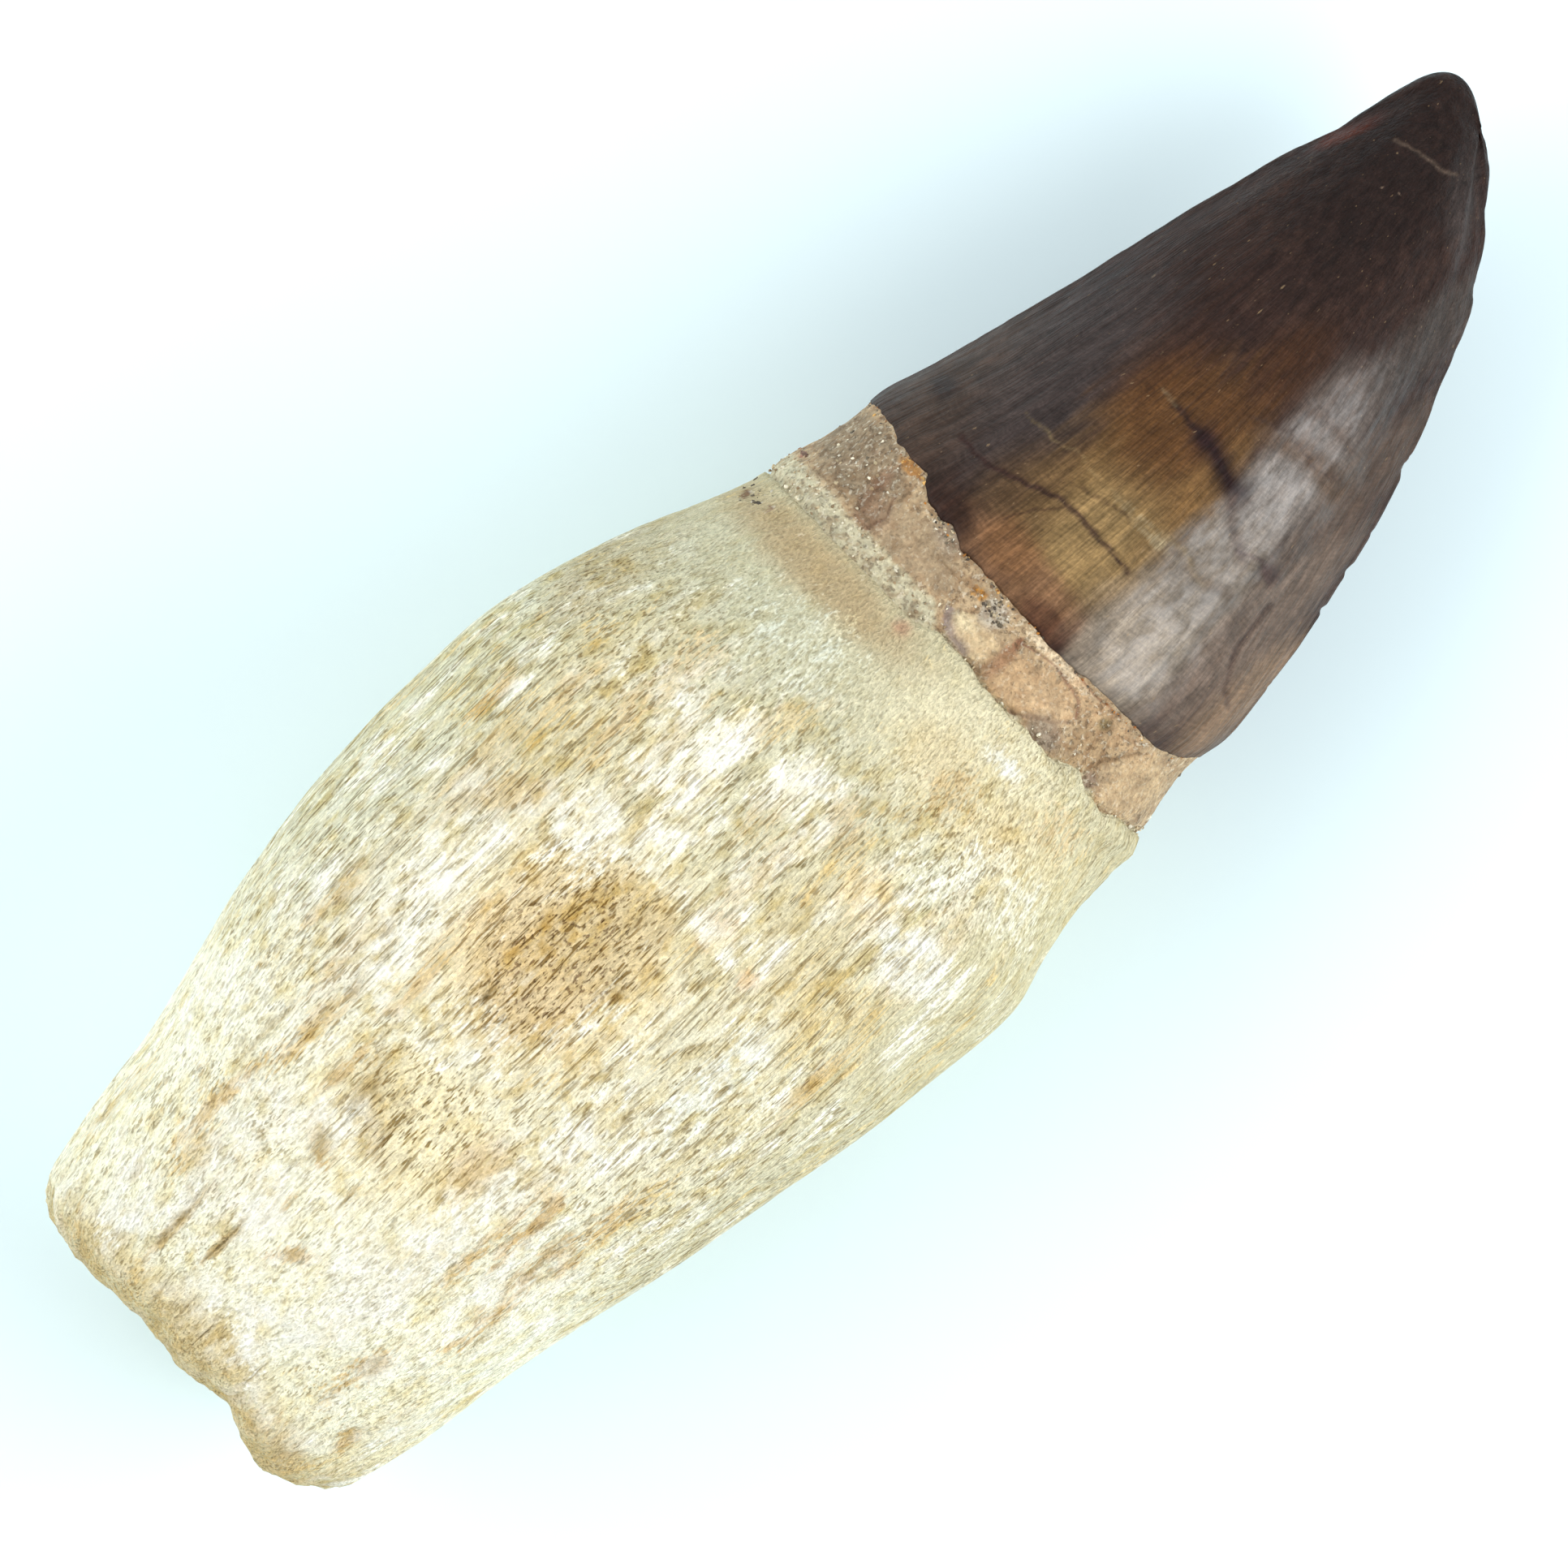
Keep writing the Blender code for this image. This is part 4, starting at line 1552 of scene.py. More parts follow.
@dataclass
class Neck:
    """The bare band of dentine between the root's ledge and the enamel, with sand stuck to it."""

    form: Form
    upper_columns: int = 520
    lower_columns: int = 190
    rows: int = 104
    inner_ends: tuple[float, float] = (70.6, 83.5)
    matrix_colour: Colour = (188, 180, 151)
    matrix_shade: Colour = (170, 154, 126)
    dentine_colour: Colour = (172, 149, 117)
    dentine_shade: Colour = (150, 124, 92)
    patches: tuple[Patch, ...] = (
        Patch(78.3, 11.6, 2.8, 3.9, (139, 121, 96), 0.85, 0.05, 0.4),
        Patch(77.8, 9.6, 1.6, 0.5, (126, 96, 74), 0.7, -0.1, 0.6),
        Patch(76.6, 4.8, 1.7, 3.8, (159, 138, 109), 0.9, 0.12, 0.3),
        Patch(76.0, 8.6, 1.2, 1.3, (140, 114, 90), 0.7, -0.1, 0.5),
        Patch(74.9, -2.3, 1.4, 2.1, (194, 171, 134), 0.95, 0.28, 0.25),
        Patch(75.2, -1.2, 0.6, 0.9, (210, 196, 160), 0.6, 0.0, 0.6),
        Patch(75.1, -7.6, 1.9, 3.4, (175, 146, 110), 0.95, 0.34, 0.25, lean=-0.5),
        Patch(75.4, -9.2, 1.0, 1.7, (192, 165, 129), 0.6, 0.0, 0.7),
        Patch(75.4, -4.9, 1.6, 0.45, (158, 120, 90), 0.7, -0.1, 0.6),
        Patch(77.9, -8.2, 0.4, 3.4, (216, 196, 164), 0.7, 0.1, 0.5),
        Patch(75.4, -13.4, 2.2, 1.6, (160, 134, 100), 0.85, 0.0, 0.5),
        Patch(75.6, -17.2, 2.7, 1.9, (177, 152, 117), 0.85, 0.2, 0.4),
        Patch(77.4, -12.8, 1.0, 3.4, (174, 146, 111), 0.7, 0.08, 0.45),
        Patch(73.8, -10.5, 1.1, 1.3, (146, 130, 110), 0.85, -0.05, 0.4),
        Patch(73.7, -15.0, 0.7, 0.6, (140, 120, 100), 0.8, -0.1, 0.4),
        Patch(77.1, -2.3, 1.2, 1.1, (182, 172, 154), 0.7, 0.0, 0.4),
        Patch(78.8, 3.4, 1.2, 1.4, (146, 130, 110), 0.7, 0.0, 0.4),
        Patch(80.1, 8.9, 0.5, 0.9, (164, 118, 62), 0.75, 0.05, 0.5),
        Patch(77.4, -0.5, 0.5, 0.6, (180, 128, 56), 0.7, 0.0, 0.5),
        Patch(76.8, -4.9, 0.5, 0.3, (150, 112, 84), 0.5, -0.05, 0.6),
        Patch(77.2, -13.0, 0.5, 0.4, (120, 104, 66), 0.7, 0.0, 0.5),
    )
    furrows: tuple[Crack, ...] = (
        # painted shadow: the grey-violet tint of this crescent beside the first lobe, over a real shallow
        # groove
        Crack(((75.1, 0.1), (74.4, -0.4), (73.9, -1.4), (73.8, -2.6)), 0.36, 0.16, (144, 128, 118), 0.9),
        Crack(((73.3, -2.6), (73.6, -3.9), (74.4, -4.6)), 0.12, 0.12, (140, 112, 84), 0.6),
        Crack(
            ((77.1, -4.6), (77.4, -6.2), (77.5, -7.9), (77.1, -10.5), (76.1, -11.3)),
            0.13, 0.14, (138, 106, 84), 0.6,
        ),
        Crack(((73.2, -7.8), (74.1, -9.6), (75.5, -11.1)), 0.16, 0.14, (132, 110, 88), 0.8),
        Crack(((78.2, -9.0), (78.2, -11.0), (78.3, -13.4)), 0.1, 0.1, (140, 100, 72), 0.6),
        Crack(
            ((73.0, -13.6), (74.8, -14.6), (76.4, -15.2), (77.8, -16.4)),
            0.14, 0.14, (128, 102, 72), 0.6,
        ),
        Crack(((75.0, 8.0), (76.6, 7.7), (78.0, 8.2)), 0.12, 0.12, (118, 88, 68), 0.6),
        Crack(((76.4, 12.8), (77.8, 11.6), (79.4, 11.2)), 0.1, 0.1, (190, 172, 148), 0.5),
        Crack(((75.2, 14.0), (75.6, 10.0), (75.2, 7.0)), 0.12, 0.08, (134, 112, 84), 0.4),
        Crack(((77.0, 3.0), (77.2, 0.0), (76.8, -3.4)), 0.1, 0.08, (140, 112, 80), 0.4),
    )

    def build(self) -> bpy.types.Object:
        """Makes the neck's mesh.

        Returns:
            The neck, with its values stored for its finish.
        """
        turn = turns_round(self.upper_columns, self.lower_columns)
        noise = GradientNoise(17)
        round_trip = ring_places(turn)
        shake = 0.6 * noise.at(round_trip, (3, 3, 3))
        low = self.form.line_by_turn(ROOT_LEDGE, 72.5, turn, shake) - 0.9
        high = self.form.line_by_turn(ENAMEL_RIM, 79.5, turn, shake) + 1.6
        share = np.linspace(0, 1, self.rows)[:, None]
        station = low + share * (high - low)
        first, last = (np.full((1, len(turn)), place) for place in self.inner_ends)
        station = np.concatenate([first, station, last])
        sink = np.full(station.shape, 0.12)
        sink[1] = 0.6
        sink[-2] = 0.5
        sink[0] = 4.0
        sink[-1] = 4.0
        sink += 0.28 * fade(station, low, low + 1.0) * (1 - fade(station, low + 1.0, low + 1.9))
        turns = np.broadcast_to(turn, station.shape)
        skin = Skin(self.form.surface(station, turns, sink), turns, straight=True)
        self._dress(skin, turn)
        first_hub, last_hub = (self.form.hub(place) for place in self.inner_ends)
        return SkinMesh("neck", skin, self.form, (first_hub, last_hub)).object

    def _dress(self, skin: Skin, turn: np.ndarray) -> None:
        """Raises the lumps and furrows of the neck, and tints them; the first furrow's tint is a painted
        shadow.

        Args:
            skin: The neck's skin.
            turn: The turn of each column of it.
        """
        noise = GradientNoise(23)
        ragged = noise.layered(skin.points, (1.5, 1.5, 1.5), 3)
        shake = 0.8 * noise.at(skin.fibre[60], (3, 3, 3))
        edge = self.form.line_by_turn(DENTINE_EDGE, 74.5, turn, shake)
        dentine = fade(skin.along - edge + 0.5 * ragged, -0.25, 0.35)
        skin.wash(self.matrix_colour, np.ones(skin.along.shape))
        skin.wash(self.matrix_shade, 0.5 * fade(ragged, 0.0, 0.5))
        skin.wash(self.dentine_colour, dentine)
        skin.wash(self.dentine_shade, 0.6 * dentine * fade(ragged, 0.05, 0.5))
        skin.height += 0.14 * ragged + 0.06 * dentine
        skin.height += 0.05 * noise.layered(skin.points + 40, (0.45, 0.45, 0.45), 2) * (1 - 0.5 * dentine)
        skin.lay_patches(self.patches, 0.8 * ragged)
        smooth = np.zeros(skin.along.shape)
        for patch in self.patches:
            if patch.lift > 0.1:
                smooth = np.maximum(smooth, skin.mark(patch, 0.8 * ragged))
        for furrow in self.furrows:
            gap = path_distance(skin.along + 0.3 * ragged, skin.across + 0.3 * ragged, furrow.path)
            mask = bell(gap / furrow.width) * skin.upper
            skin.height -= furrow.depth * mask
            # the first furrow's tint is painted shadow beside the first lobe
            skin.lay_stain(furrow.colour, mask * furrow.strength)
        skin.streak = 1 - 0.5 * smooth
        skin.cavity = 0.5 * fade(-ragged, 0.25, 0.7)


@dataclass
class Crown:
    """The enamel cap, from its ragged rim to the blunt apex."""

    form: Form
    upper_columns: int = 300
    lower_columns: int = 110
    rows: int = 236
    lip: float = 0.06
    edge_height: float = 0.16
    edge_width: float = 0.4
    rib_height: float = 0.026
    inner_end: float = 84.5
    window: Oval = Oval(89.0, -2.0, 12.0, 7.0)
    base_colour: Colour = (46, 31, 26)
    warm_streak: Colour = (62, 44, 36)
    dark_streak: Colour = (32, 21, 19)
    patches: tuple[Patch, ...] = (
        Wash(86.0, 10.6, 8.0, 4.0, (68, 54, 45), 0.75),
        Wash(92.0, 6.0, 9.0, 4.0, (60, 52, 50), 0.75),
        Wash(89.4, -3.2, 10.2, 5.2, (108, 82, 50), 0.92, softness=0.36),
        Wash(85.4, -3.6, 4.4, 4.2, (136, 112, 74), 0.75, softness=0.6),
        Wash(84.0, 2.0, 4.2, 2.6, (92, 70, 46), 0.65, softness=0.6),
        Wash(95.6, -1.6, 4.8, 4.6, (78, 49, 25), 0.8),
        Wash(94.0, -6.2, 3.6, 1.2, (119, 88, 52), 0.6),
        Wash(80.3, -1.6, 1.9, 6.2, (118, 86, 62), 0.8, softness=0.4),
        Wash(79.2, -5.2, 1.1, 2.2, (66, 38, 28), 0.6, softness=0.4),
        Wash(79.9, 4.6, 1.3, 1.9, (36, 22, 19), 0.75, softness=0.4),
        Wash(81.2, 0.2, 1.6, 2.2, (112, 78, 48), 0.6),
        Wash(102.5, -4.4, 4.4, 2.2, (67, 41, 22), 0.6, softness=0.6),
        # painted sheen: these four pale grey-brown washes stand for the window's reflection, over enamel
        # that is partly worn dull
        Wash(86.0, -10.8, 9.8, 3.5, (105, 94, 81), 0.85, softness=0.35),
        Wash(82.4, -10.6, 4.2, 3.6, (150, 137, 120), 0.6, softness=0.6),
        Wash(97.8, -10.4, 4.8, 2.9, (122, 113, 105), 0.75),
        Wash(103.4, -9.2, 4.6, 2.4, (98, 87, 80), 0.7),
        Wash(84.8, -18.3, 6.0, 1.6, (120, 97, 76), 0.85, softness=0.45),
        Wash(89.0, -15.6, 10.5, 1.9, (104, 88, 76), 0.8, softness=0.4),
        Wash(102.0, -13.6, 8.0, 1.7, (80, 64, 53), 0.7),
        Wash(112.0, -9.8, 7.0, 1.6, (65, 57, 52), 0.7),
        Wash(120.4, -4.6, 3.0, 1.2, (69, 60, 57), 0.7, lean=0.7),
        Wash(85.7, 11.2, 1.0, 0.9, (27, 19, 20), 0.6),
        Wash(118.0, 4.2, 2.4, 0.45, (95, 43, 27), 0.7, lean=-0.34),
        Wash(118.0, 0.0, 9.0, 5.0, (21, 13, 12), 0.6),
        Wash(100.6, -11.0, 0.6, 2.6, (70, 52, 38), 0.7),
        Wash(92.6, -13.6, 0.6, 0.8, (58, 41, 39), 0.7),
        Patch(104.8, -0.3, 0.3, 0.1, (128, 106, 76), 0.6, softness=0.6),
        Patch(107.1, -0.2, 0.22, 0.1, (122, 102, 76), 0.6, softness=0.6),
        Patch(116.9, -0.1, 0.2, 0.1, (122, 102, 86), 0.6, softness=0.6),
        Patch(117.5, -1.3, 0.12, 0.2, (116, 96, 82), 0.5, softness=0.6),
        Patch(111.3, -4.2, 0.2, 0.1, (122, 100, 76), 0.6, softness=0.6),
        Patch(107.8, -3.1, 0.2, 0.12, (116, 94, 72), 0.5, softness=0.6),
        Patch(98.0, 2.4, 0.3, 0.1, (112, 94, 72), 0.6, softness=0.6),
        Patch(101.4, 6.6, 0.22, 0.1, (108, 92, 76), 0.5, softness=0.6),
        Patch(88.7, -5.6, 0.7, 3.0, (140, 126, 98), 0.55, softness=0.6),
    )
    cracks: tuple[Crack, ...] = (
        Crack(
            (
                (84.2, 8.0), (83.9, 6.7), (84.2, 4.9), (84.9, 3.0), (85.8, 0.6), (86.0, -1.1),
                (86.0, -3.3), (85.9, -5.4), (85.6, -6.7),
            ),
            0.19, 0.1, (50, 33, 30), 0.9,
        ),
        Crack(((82.3, 1.9), (84.1, 0.9), (85.6, -0.4)), 0.11, 0.05, (60, 40, 30), 0.6),
        Crack(((87.5, -0.2), (88.1, -2.8), (88.3, -4.5)), 0.1, 0.05, (60, 42, 30), 0.6),
        Crack(
            ((88.4, 6.0), (88.5, 3.2), (88.9, 1.9), (88.8, -0.2), (88.9, -2.4)),
            0.08, 0.04, (140, 120, 84), 0.3,
        ),
        Crack(
            ((88.9, -2.4), (88.5, -4.5), (89.2, -6.3), (89.4, -8.4), (88.8, -10.8)),
            0.2, 0.06, (136, 118, 86), 0.4,
        ),
        Crack(((96.1, -0.9), (96.1, -2.6), (95.9, -4.0)), 0.3, 0.1, (40, 26, 24), 0.9),
        Crack(((95.9, -3.8), (95.7, -5.0), (95.3, -6.4), (94.9, -8.1)), 1.0, 0.1, (34, 20, 20), 1.0),
        Crack(((96.3, 0.6), (96.2, -0.9)), 0.12, 0.04, (112, 96, 72), 0.5),
        Crack(((99.0, -6.6), (100.0, -9.6), (99.6, -12.8)), 0.6, 0.05, (84, 64, 48), 0.7),
        Crack(((94.4, -8.2), (93.0, -9.6), (92.0, -11.6)), 0.4, 0.05, (78, 64, 58), 0.6),
        Crack(((89.0, -8.0), (88.9, -10.4), (89.6, -12.6)), 0.3, 0.04, (96, 80, 66), 0.5),
        Crack(((102.4, -7.6), (103.0, -9.6), (102.6, -11.6)), 0.35, 0.04, (76, 60, 50), 0.5),
        Crack(((99.4, -5.2), (100.4, -7.7), (99.8, -10.4), (100.6, -12.4)), 0.14, 0.06, (66, 50, 42), 0.6),
        Crack(((92.2, -11.0), (92.8, -12.7), (92.0, -14.2)), 0.14, 0.05, (74, 58, 56), 0.6),
        Crack(((84.2, -18.1), (84.9, -17.0), (87.3, -15.7), (91.0, -15.2)), 0.22, 0.07, (62, 46, 40), 0.65),
        Crack(
            ((119.8, 1.6), (120.4, 0.5), (120.7, -1.2), (120.6, -2.4), (121.2, -3.1)),
            0.12, 0.05, (100, 84, 72), 0.5,
        ),
    )

    def build(self) -> bpy.types.Object:
        """Makes the crown's mesh.

        Returns:
            The crown, with its values stored for its finish.
        """
        turn = turns_round(self.upper_columns, self.lower_columns)
        noise = GradientNoise(31)
        round_trip = ring_places(turn)
        shake = 0.6 * noise.at(round_trip, (3, 3, 3))
        rim = self.form.line_by_turn(ENAMEL_RIM, 79.5, turn, shake)
        rim = rim + 0.16 * noise.layered(round_trip, (1, 0.6, 0.6), 2)
        share = np.linspace(0, 1, self.rows)[:-1, None]
        outer = rim + share * (self.form.last - rim)
        inner = np.full((1, len(turn)), self.inner_end)
        station = np.concatenate([inner, (rim + 0.1)[None], outer])
        sink = np.zeros(station.shape)
        sink[0] = 5.0
        sink[1] = 0.55
        sink[2] = 0.02
        sink[2:] -= self.lip * (1 - fade(outer - rim, 0.4, 5.0))
        sink[2] += 0.14
        turns = np.broadcast_to(turn, station.shape)
        skin = Skin(self.form.surface(station, turns, sink), turns)
        self._carve(skin)
        self._colour(skin)
        apex = self.form.surface(np.array(self.form.last), np.array(0.0))
        return SkinMesh("crown", skin, self.form, (self.form.hub(self.inner_end), apex)).object

    def _crack_gaps(self, skin: Skin) -> list[np.ndarray]:
        """Distance of each point from each crack, whose lines waver a little."""
        wobble = 0.4 * GradientNoise(41).layered(skin.points, (1.4, 1.4, 1.4), 3)
        return [path_distance(skin.along + wobble, skin.across, crack.path) for crack in self.cracks]

    def _carve(self, skin: Skin) -> None:
        """Sharpens the cutting edges, and adds ribs, dents, chips and cracks.

        Args:
            skin: The crown's skin.
        """
        noise = GradientNoise(41)
        body = fade(skin.along, 80, 84) * (1 - fade(skin.along, 124.5, 126.2))
        ribs = noise.at(skin.fibre, (30, 0.8, 0.8))
        ripple = noise.layered(skin.fibre + 20, (5, 2.2, 2.2), 3)
        rolling = noise.layered(skin.points, (3.4, 3.0, 3.0), 2)
        skin.height += body * (self.rib_height * ribs + 0.05 * ripple + 0.07 * rolling)
        for edge in Edge:
            gap = (skin.turn - edge.value + math.pi) % (2 * math.pi) - math.pi
            arc = gap * np.abs(skin.across - skin.across.mean(axis=1, keepdims=True)).clip(3)
            line = np.stack([skin.along, arc * 0 + edge.value * 9, arc * 0], -1)
            chips = noise.layered(line, (2.1, 1, 1), 3)
            worn = fade(chips, 0.15, 0.6) * (1.0 if edge is Edge.FRONT else 0.4)
            skin.height += body * bell(arc / self.edge_width) * (self.edge_height - 0.24 * worn)
        for crack, gap in zip(self.cracks, self._crack_gaps(skin)):
            mask = bell(gap / crack.width) * skin.upper
            skin.height -= crack.depth * mask

    def _colour(self, skin: Skin) -> None:
        """Tints the enamel by place, with a painted sheen over part of the side towards the front edge.

        Args:
            skin: The crown's skin.
        """
        noise = GradientNoise(43)
        ragged = noise.layered(skin.fibre, (4.5, 1.3, 1.3), 3)
        skin.wash(self.base_colour, np.ones(skin.along.shape))
        skin.wash(self.warm_streak, 0.5 * fade(ragged, 0.0, 0.55))
        skin.wash(self.dark_streak, 0.5 * fade(-ragged, 0.1, 0.6))
        skin.lay_patches(self.patches, ragged)
        dull = np.zeros(skin.along.shape)
        for crack, gap in zip(self.cracks, self._crack_gaps(skin)):
            mask = bell(gap / (1.1 * crack.width)) * skin.upper * crack.strength
            skin.wash(crack.colour, mask)
            skin.stain *= 1 - mask
            beside = bell(gap / (1.5 * crack.width + 0.1))
            dull = np.maximum(dull, beside * min(1.0, 1.3 * crack.strength))
        window = 1 - fade(self.window.off(skin.along, skin.across), 0.6, 1.2)
        skin.streak = 0.45 + 0.5 * window * skin.upper
        shore = 1.1 * GradientNoise(67).layered(skin.points, (2.6, 1.4, 1.4), 3)
        below = -skin.across + 0.12 * (skin.along - 80)
        band = fade(shore - skin.across, 7.0, 8.2) * (1 - fade(below, 13.0, 17.5))
        patchy = 0.8 + 0.6 * noise.layered(skin.points, (3.2, 1.6, 1.6), 3)
        skin.gloss = 0.02 + 0.9 * band * patchy * (1 - fade(skin.along, 101, 112)) * skin.upper
        skin.gloss *= 1 - 0.75 * dull
        rows = np.arange(len(skin.along))
        skin.cavity[rows < 3] = 0.6


@dataclass(frozen=True)
class CrumbField:
    """A stretch of the neck where grains stick."""

    along: float
    across: float
    half_length: float
    half_width: float
    count: int
    smallest: float
    largest: float
    colours: tuple[Colour, ...]


@dataclass
class Crumbs:
    """Grains of matrix stuck to the neck and along the enamel's rim."""

    form: Form
    pepper: tuple[Colour, ...] = (
        (214, 206, 186), (98, 88, 70), (150, 134, 108), (190, 172, 140), (72, 62, 50),
    )  # fmt: skip
    sand: tuple[Colour, ...] = ((214, 204, 176), (186, 168, 134), (228, 220, 196), (150, 128, 96))
    rusty: tuple[Colour, ...] = ((178, 116, 44), (150, 92, 40), (110, 84, 60), (204, 160, 92))
    clods: tuple[Colour, ...] = ((150, 110, 88), (118, 90, 74), (186, 160, 128))
    rim_grains: int = 420
    band_grains: int = 420
    smallest: float = 0.05
    largest: float = 0.15
    bedded: float = 0.12

    def fields(self) -> tuple[CrumbField, ...]:
        """The places where grains lie thick.

        Returns:
            The places.
        """
        return (
            CrumbField(77.1, -2.3, 1.2, 1.3, 90, 0.06, 0.15, self.pepper),
            CrumbField(78.3, 4.2, 0.6, 1.2, 70, 0.07, 0.17, self.pepper),
            CrumbField(80.0, 9.4, 0.45, 1.5, 30, 0.07, 0.18, self.rusty),
            CrumbField(77.2, -13.0, 0.6, 0.5, 14, 0.08, 0.16, self.pepper),
            CrumbField(78.0, -17.0, 0.6, 2.2, 60, 0.06, 0.16, self.pepper),
            CrumbField(78.0, 12.0, 2.2, 3.0, 110, 0.06, 0.18, self.sand + self.pepper[:3]),
            CrumbField(70.9, 15.0, 0.9, 1.4, 26, 0.08, 0.2, self.pepper),
            CrumbField(75.4, 14.9, 0.35, 0.5, 10, 0.16, 0.34, self.clods),
        )

    def build(self) -> bpy.types.Object:
        """Makes all the grains as one mesh.

        Returns:
            The grains, each tinted.
        """
        rng = np.random.default_rng(61)
        spots: list[Grain] = []
        for spot in self.fields():
            off = rng.normal(size=(spot.count, 2)) * 0.55
            for x, y in off:
                along = spot.along + x * spot.half_length
                across = spot.across + y * spot.half_width
                radius = rng.uniform(spot.smallest, spot.largest)
                colour = spot.colours[rng.integers(len(spot.colours))]
                spots.append((along, self._turn(along, across), radius, colour))
        for line, count, spread, colours in (
            (ENAMEL_RIM, self.rim_grains, 0.18, self.pepper[1:] + self.rusty),
            (ROOT_LEDGE, self.band_grains, 0.0, self.sand),
        ):
            turns = rng.random(count) * 2 * math.pi
            at = self.form.line_by_turn(line, 76.0, turns, np.zeros(count))
            shift = rng.normal(size=count) * spread if spread else rng.uniform(0.3, 2.2, count)
            for turn, place in zip(turns, at + shift - (0.12 if spread else 0)):
                radius = rng.uniform(self.smallest, self.largest)
                spots.append((place, turn, radius, colours[rng.integers(len(colours))]))
        return self._mesh(spots, rng)

    def _turn(self, along: float, across: float) -> float:
        """Finds a place on the upper side.

        Args:
            along: Its place along the tooth.
            across: Its place across the tooth.

        Returns:
            Its turn round the tooth.
        """
        turns = np.linspace(0.0, math.pi, 361)
        ring = self.form.surface(np.full(turns.shape, along), turns)
        return float(np.interp(-across, -ring[:, 1], turns))

    def _mesh(self, spots: list[Grain], rng: np.random.Generator) -> bpy.types.Object:
        """Places a small uneven stone at every spot.

        Args:
            spots: Where each stone lies, its radius and its colour.
            rng: Where its unevenness is drawn from.

        Returns:
            The stones as one object.
        """
        stone_points, stone_faces = self._stone()
        points, faces, tints = [], [], []
        for along, turn, radius, colour in spots:
            foot = self.form.surface(np.array(along), np.array(turn), self.bedded)
            squash = rng.uniform(0.6, 1.25, 3)
            lumps = 1 + 0.22 * rng.normal(size=(len(stone_points), 1))
            first = len(points) * len(stone_points)
            faces += [tuple(corner + first for corner in face) for face in stone_faces]
            points.append(stone_points * squash * lumps * radius + foot)
            tint = np.append(linear(colour) * rng.uniform(0.75, 1.15), 1)
            tints.append(np.tile(tint, (len(stone_points), 1)))
        placed = np.concatenate(points)
        placed[:, 0] += self.form.start
        placed[:, 2] = np.maximum(placed[:, 2], 0.0)
        mesh = bpy.data.meshes.new("matrix_grains")
        mesh.from_pydata((placed * MM).tolist(), [], faces)
        mesh.shade_smooth()
        stored = mesh.attributes.new("tint", "FLOAT_COLOR", "POINT")
        stored.data.foreach_set("color", np.concatenate(tints).astype(np.float32).ravel())
        made = bpy.data.objects.new("matrix_grains", mesh)
        bpy.context.scene.collection.objects.link(made)
        return made

    @staticmethod
    def _stone() -> tuple[np.ndarray, list[tuple[int, ...]]]:
        """The points and faces of a ball of 80 triangles.

        Returns:
            The ball's points and faces.
        """
        gold = (1 + math.sqrt(5)) / 2
        corners = [Vector(p).normalized() for p in (
            (-1, gold, 0), (1, gold, 0), (-1, -gold, 0), (1, -gold, 0), (0, -1, gold), (0, 1, gold),
            (0, -1, -gold), (0, 1, -gold), (gold, 0, -1), (gold, 0, 1), (-gold, 0, -1), (-gold, 0, 1),
        )]  # fmt: skip
        faces = [
            (0, 11, 5), (0, 5, 1), (0, 1, 7), (0, 7, 10), (0, 10, 11), (1, 5, 9), (5, 11, 4), (11, 10, 2),
            (10, 7, 6), (7, 1, 8), (3, 9, 4), (3, 4, 2), (3, 2, 6), (3, 6, 8), (3, 8, 9), (4, 9, 5),
            (2, 4, 11), (6, 2, 10), (8, 6, 7), (9, 8, 1),
        ]  # fmt: skip
        halves: dict[tuple[int, int], int] = {}

        def half(a: int, b: int) -> int:
            """Finds the point halfway between two corners, made once.

            Args:
                a: One corner.
                b: The other corner.

            Returns:
                The point's index.
            """
            key = (min(a, b), max(a, b))
            if key not in halves:
                halves[key] = len(corners)
                corners.append((corners[a] + corners[b]).normalized())
            return halves[key]

        split = []
        for a, b, c in faces:
            ab, bc, ca = half(a, b), half(b, c), half(c, a)
            split += [(a, ab, ca), (b, bc, ab), (c, ca, bc), (ab, bc, ca)]
        return np.array([list(corner) for corner in corners]), split


# ---------------------------------------------------------------- studio


@dataclass(frozen=True)
class SoftLight:
    """A soft panel of light, aimed at the tooth."""

    name: str
    place: tuple[float, float, float]
    width: float
    depth: float
    power: float
    colour: tuple[float, float, float] = (1.0, 1.0, 1.0)


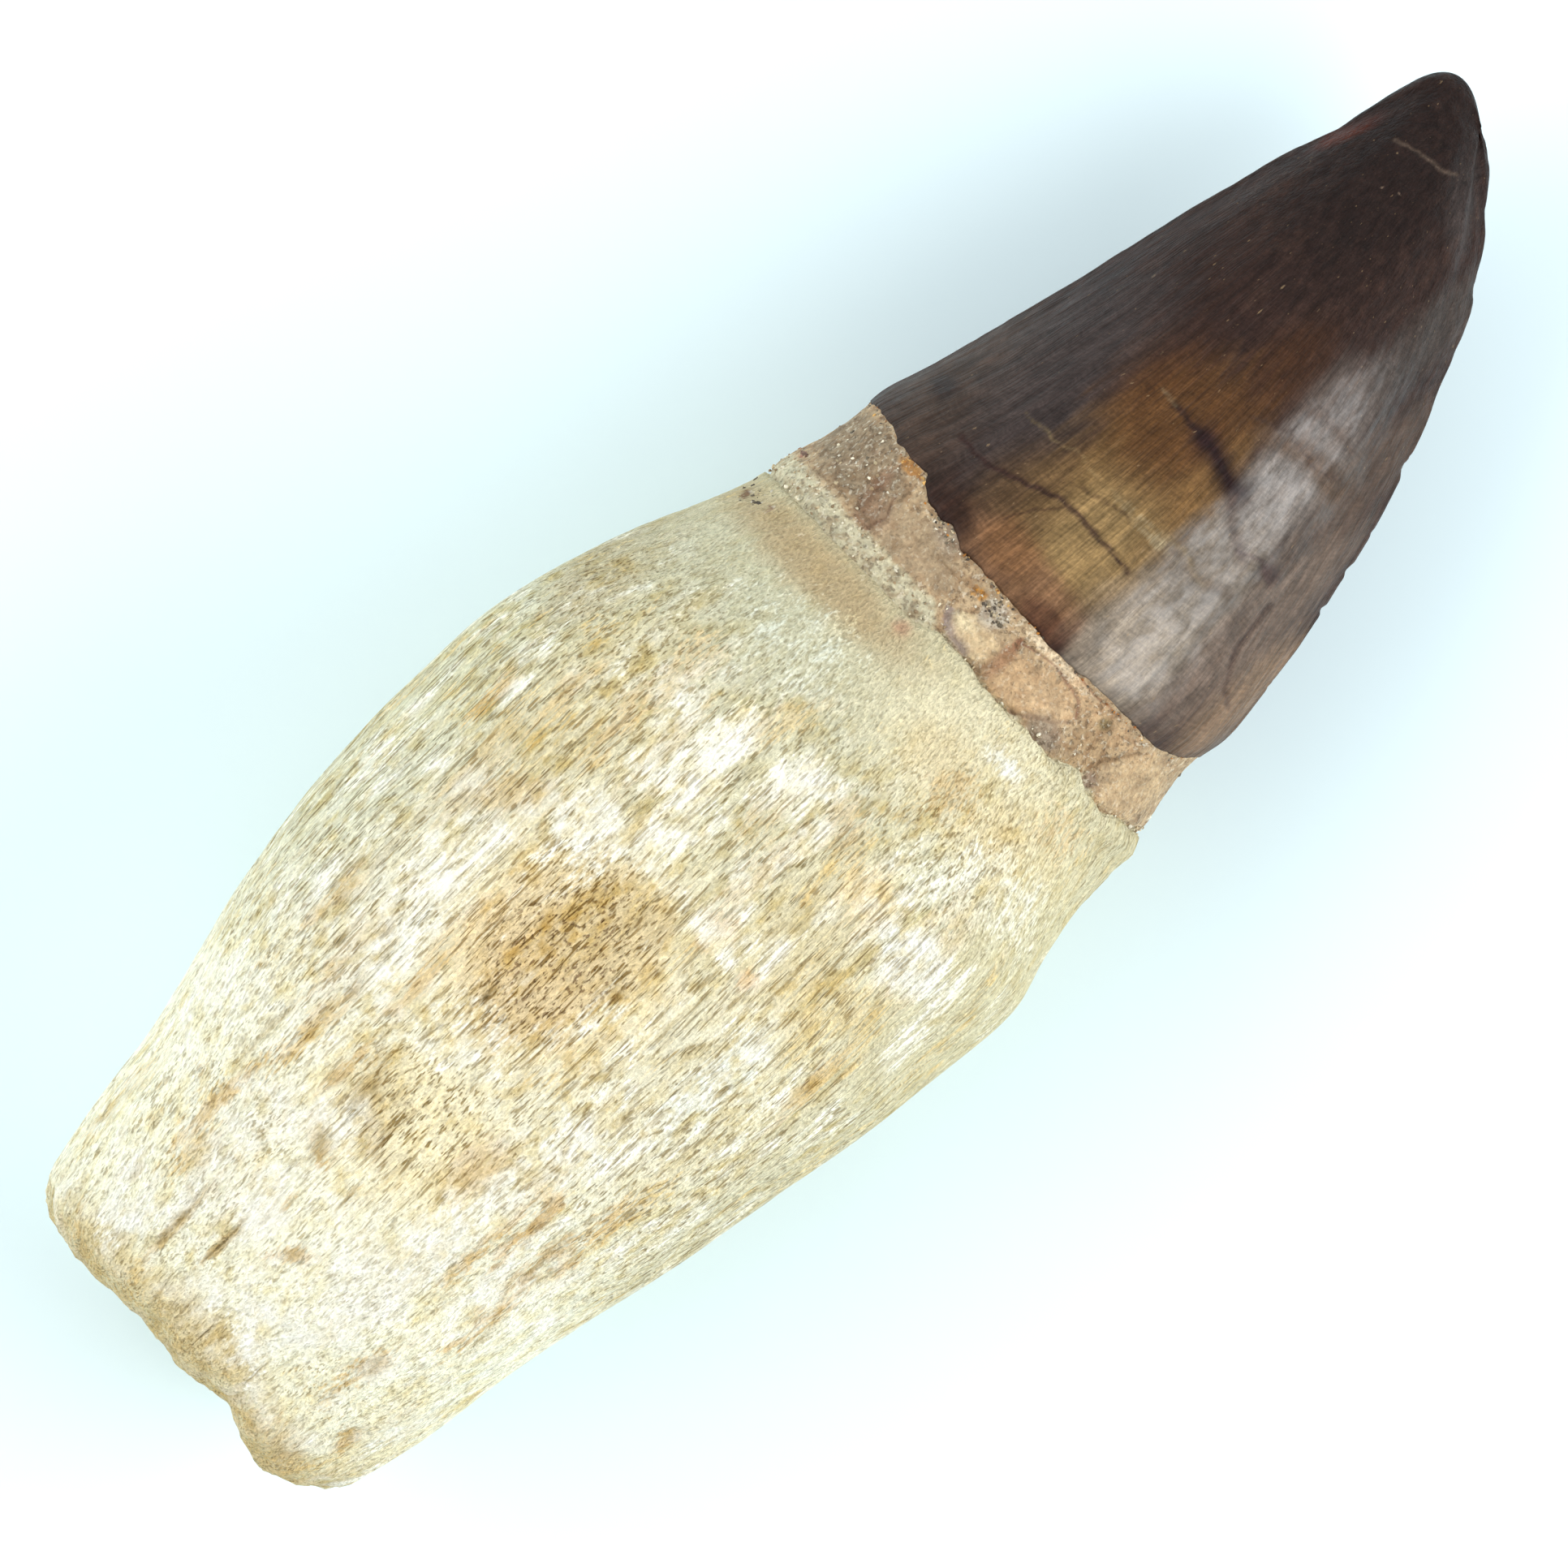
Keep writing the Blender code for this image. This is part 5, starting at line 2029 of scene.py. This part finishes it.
@dataclass
class Studio:
    """The floor, the lights and the camera."""

    view_middle: tuple[float, float, float] = (-0.0045, -0.00045, 0.0178)
    view_width: float = 0.1082
    view_distance: float = 3.0
    view_turn: float = math.radians(-44.6)
    sensor_width: float = 36.0
    near_clip: float = 0.01
    floor_half: float = 1.5
    sky: tuple[float, float, float] = (0.95, 0.985, 1.0)
    sky_level: float = 1.44
    sky_overhead: float = 0.38
    sky_slant: float = 0.3
    floor_colour: Colour = (230, 248, 253)
    lights: tuple[SoftLight, ...] = (
        SoftLight("front_window", (0.255, -0.437, 0.379), 0.62, 0.38, 3.5),
        SoftLight("rear_fill", (-0.36, 0.48, 0.6), 0.9, 0.6, 3.9),
    )

    def build(self) -> None:
        """Sets up the whole studio."""
        self._floor()
        self._world()
        for light in self.lights:
            self._light(light)
        self._camera()
        bpy.context.scene.view_settings.view_transform = "Standard"

    def _floor(self) -> None:
        """Lays the plain pale floor."""
        mesh = bpy.data.meshes.new("floor")
        half = self.floor_half
        corners = [(-half, -half, 0), (half, -half, 0), (half, half, 0), (-half, half, 0)]
        mesh.from_pydata(corners, [], [(0, 1, 2, 3)])
        floor = bpy.data.objects.new("floor", mesh)
        bpy.context.scene.collection.objects.link(floor)
        made = bpy.data.materials.new("floor_paper")
        made.use_nodes = True
        shader = made.node_tree.nodes["Principled BSDF"]
        shader.inputs["Base Color"].default_value = (*linear(self.floor_colour), 1)
        shader.inputs["Roughness"].default_value = 0.9
        shader.inputs["Specular IOR Level"].default_value = 0.1
        mesh.materials.append(made)

    def _world(self) -> None:
        """Surrounds the scene with a pale sky that is dimmer overhead and towards the window."""
        world = bpy.data.worlds.new("pale_sky")
        world.use_nodes = True
        background = world.node_tree.nodes["Background"]
        background.inputs["Color"].default_value = (*self.sky, 1)
        wiring = Wiring(world.node_tree)
        place = wiring.node("ShaderNodeTexCoord")
        parts = wiring.node("ShaderNodeSeparateXYZ", {"Vector": place.outputs["Generated"]})
        level = wiring.node("ShaderNodeMapRange", {"To Min": self.sky_level, "To Max": self.sky_overhead})
        wiring.feed(level.inputs["Value"], parts.outputs["Z"])
        slant = wiring.plus(wiring.times(parts.outputs["Y"], self.sky_slant), 1.0)
        wiring.feed(background.inputs["Strength"], wiring.times(level.outputs[0], slant))
        bpy.context.scene.world = world

    @staticmethod
    def _light(light: SoftLight) -> None:
        """Hangs one panel of light.

        Args:
            light: Its size, place, power and colour.
        """
        data = bpy.data.lights.new(light.name, "AREA")
        data.shape = "RECTANGLE"
        data.size = light.width
        data.size_y = light.depth
        data.energy = light.power
        data.color = light.colour
        lamp = bpy.data.objects.new(light.name, data)
        lamp.location = light.place
        lamp.rotation_euler = (-Vector(light.place)).to_track_quat("-Z", "Y").to_euler()
        bpy.context.scene.collection.objects.link(lamp)

    def _camera(self) -> None:
        """Points the camera straight down, turned as the photograph is."""
        data = bpy.data.cameras.new("camera")
        data.sensor_width = self.sensor_width
        data.lens = self.sensor_width * self.view_distance / self.view_width
        data.clip_start = self.near_clip
        camera = bpy.data.objects.new("camera", data)
        x, y, z = self.view_middle
        camera.location = (x, y, z + self.view_distance)
        camera.rotation_euler = (0, 0, self.view_turn)
        bpy.context.scene.collection.objects.link(camera)
        bpy.context.scene.camera = camera


def dress(piece: bpy.types.Object, material: bpy.types.Material) -> None:
    """Gives a piece its finish and ties it to the frame.

    Args:
        piece: The piece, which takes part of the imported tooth's place.
        material: Its finish.
    """
    piece.data.materials.append(material)
    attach(piece, "root")
    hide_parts("tooth")
    LOG.info("%s: %d faces, finish %s", piece.name, len(piece.data.polygons), material.name)


def main() -> None:
    """Builds the tooth's pieces in order, and the studio round them."""
    logging.basicConfig(level=logging.INFO, format="%(name)s: %(message)s")
    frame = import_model()
    form = Form(frame["nodes"]["tooth"])
    LOG.info("form: %.1f mm long", form.length)
    effects = SurfaceEffects()
    dress(Root(form).build(), BoneFinish().build(effects))
    dress(Neck(form).build(), DentineFinish().build(effects))
    dress(Crown(form).build(), EnamelFinish().build(effects))
    dress(Crumbs(form).build(), GrainFinish().build())
    studio = Studio()
    studio.build()
    LOG.info("studio: %d lights", len(studio.lights))


if __name__ == "__main__":
    main()
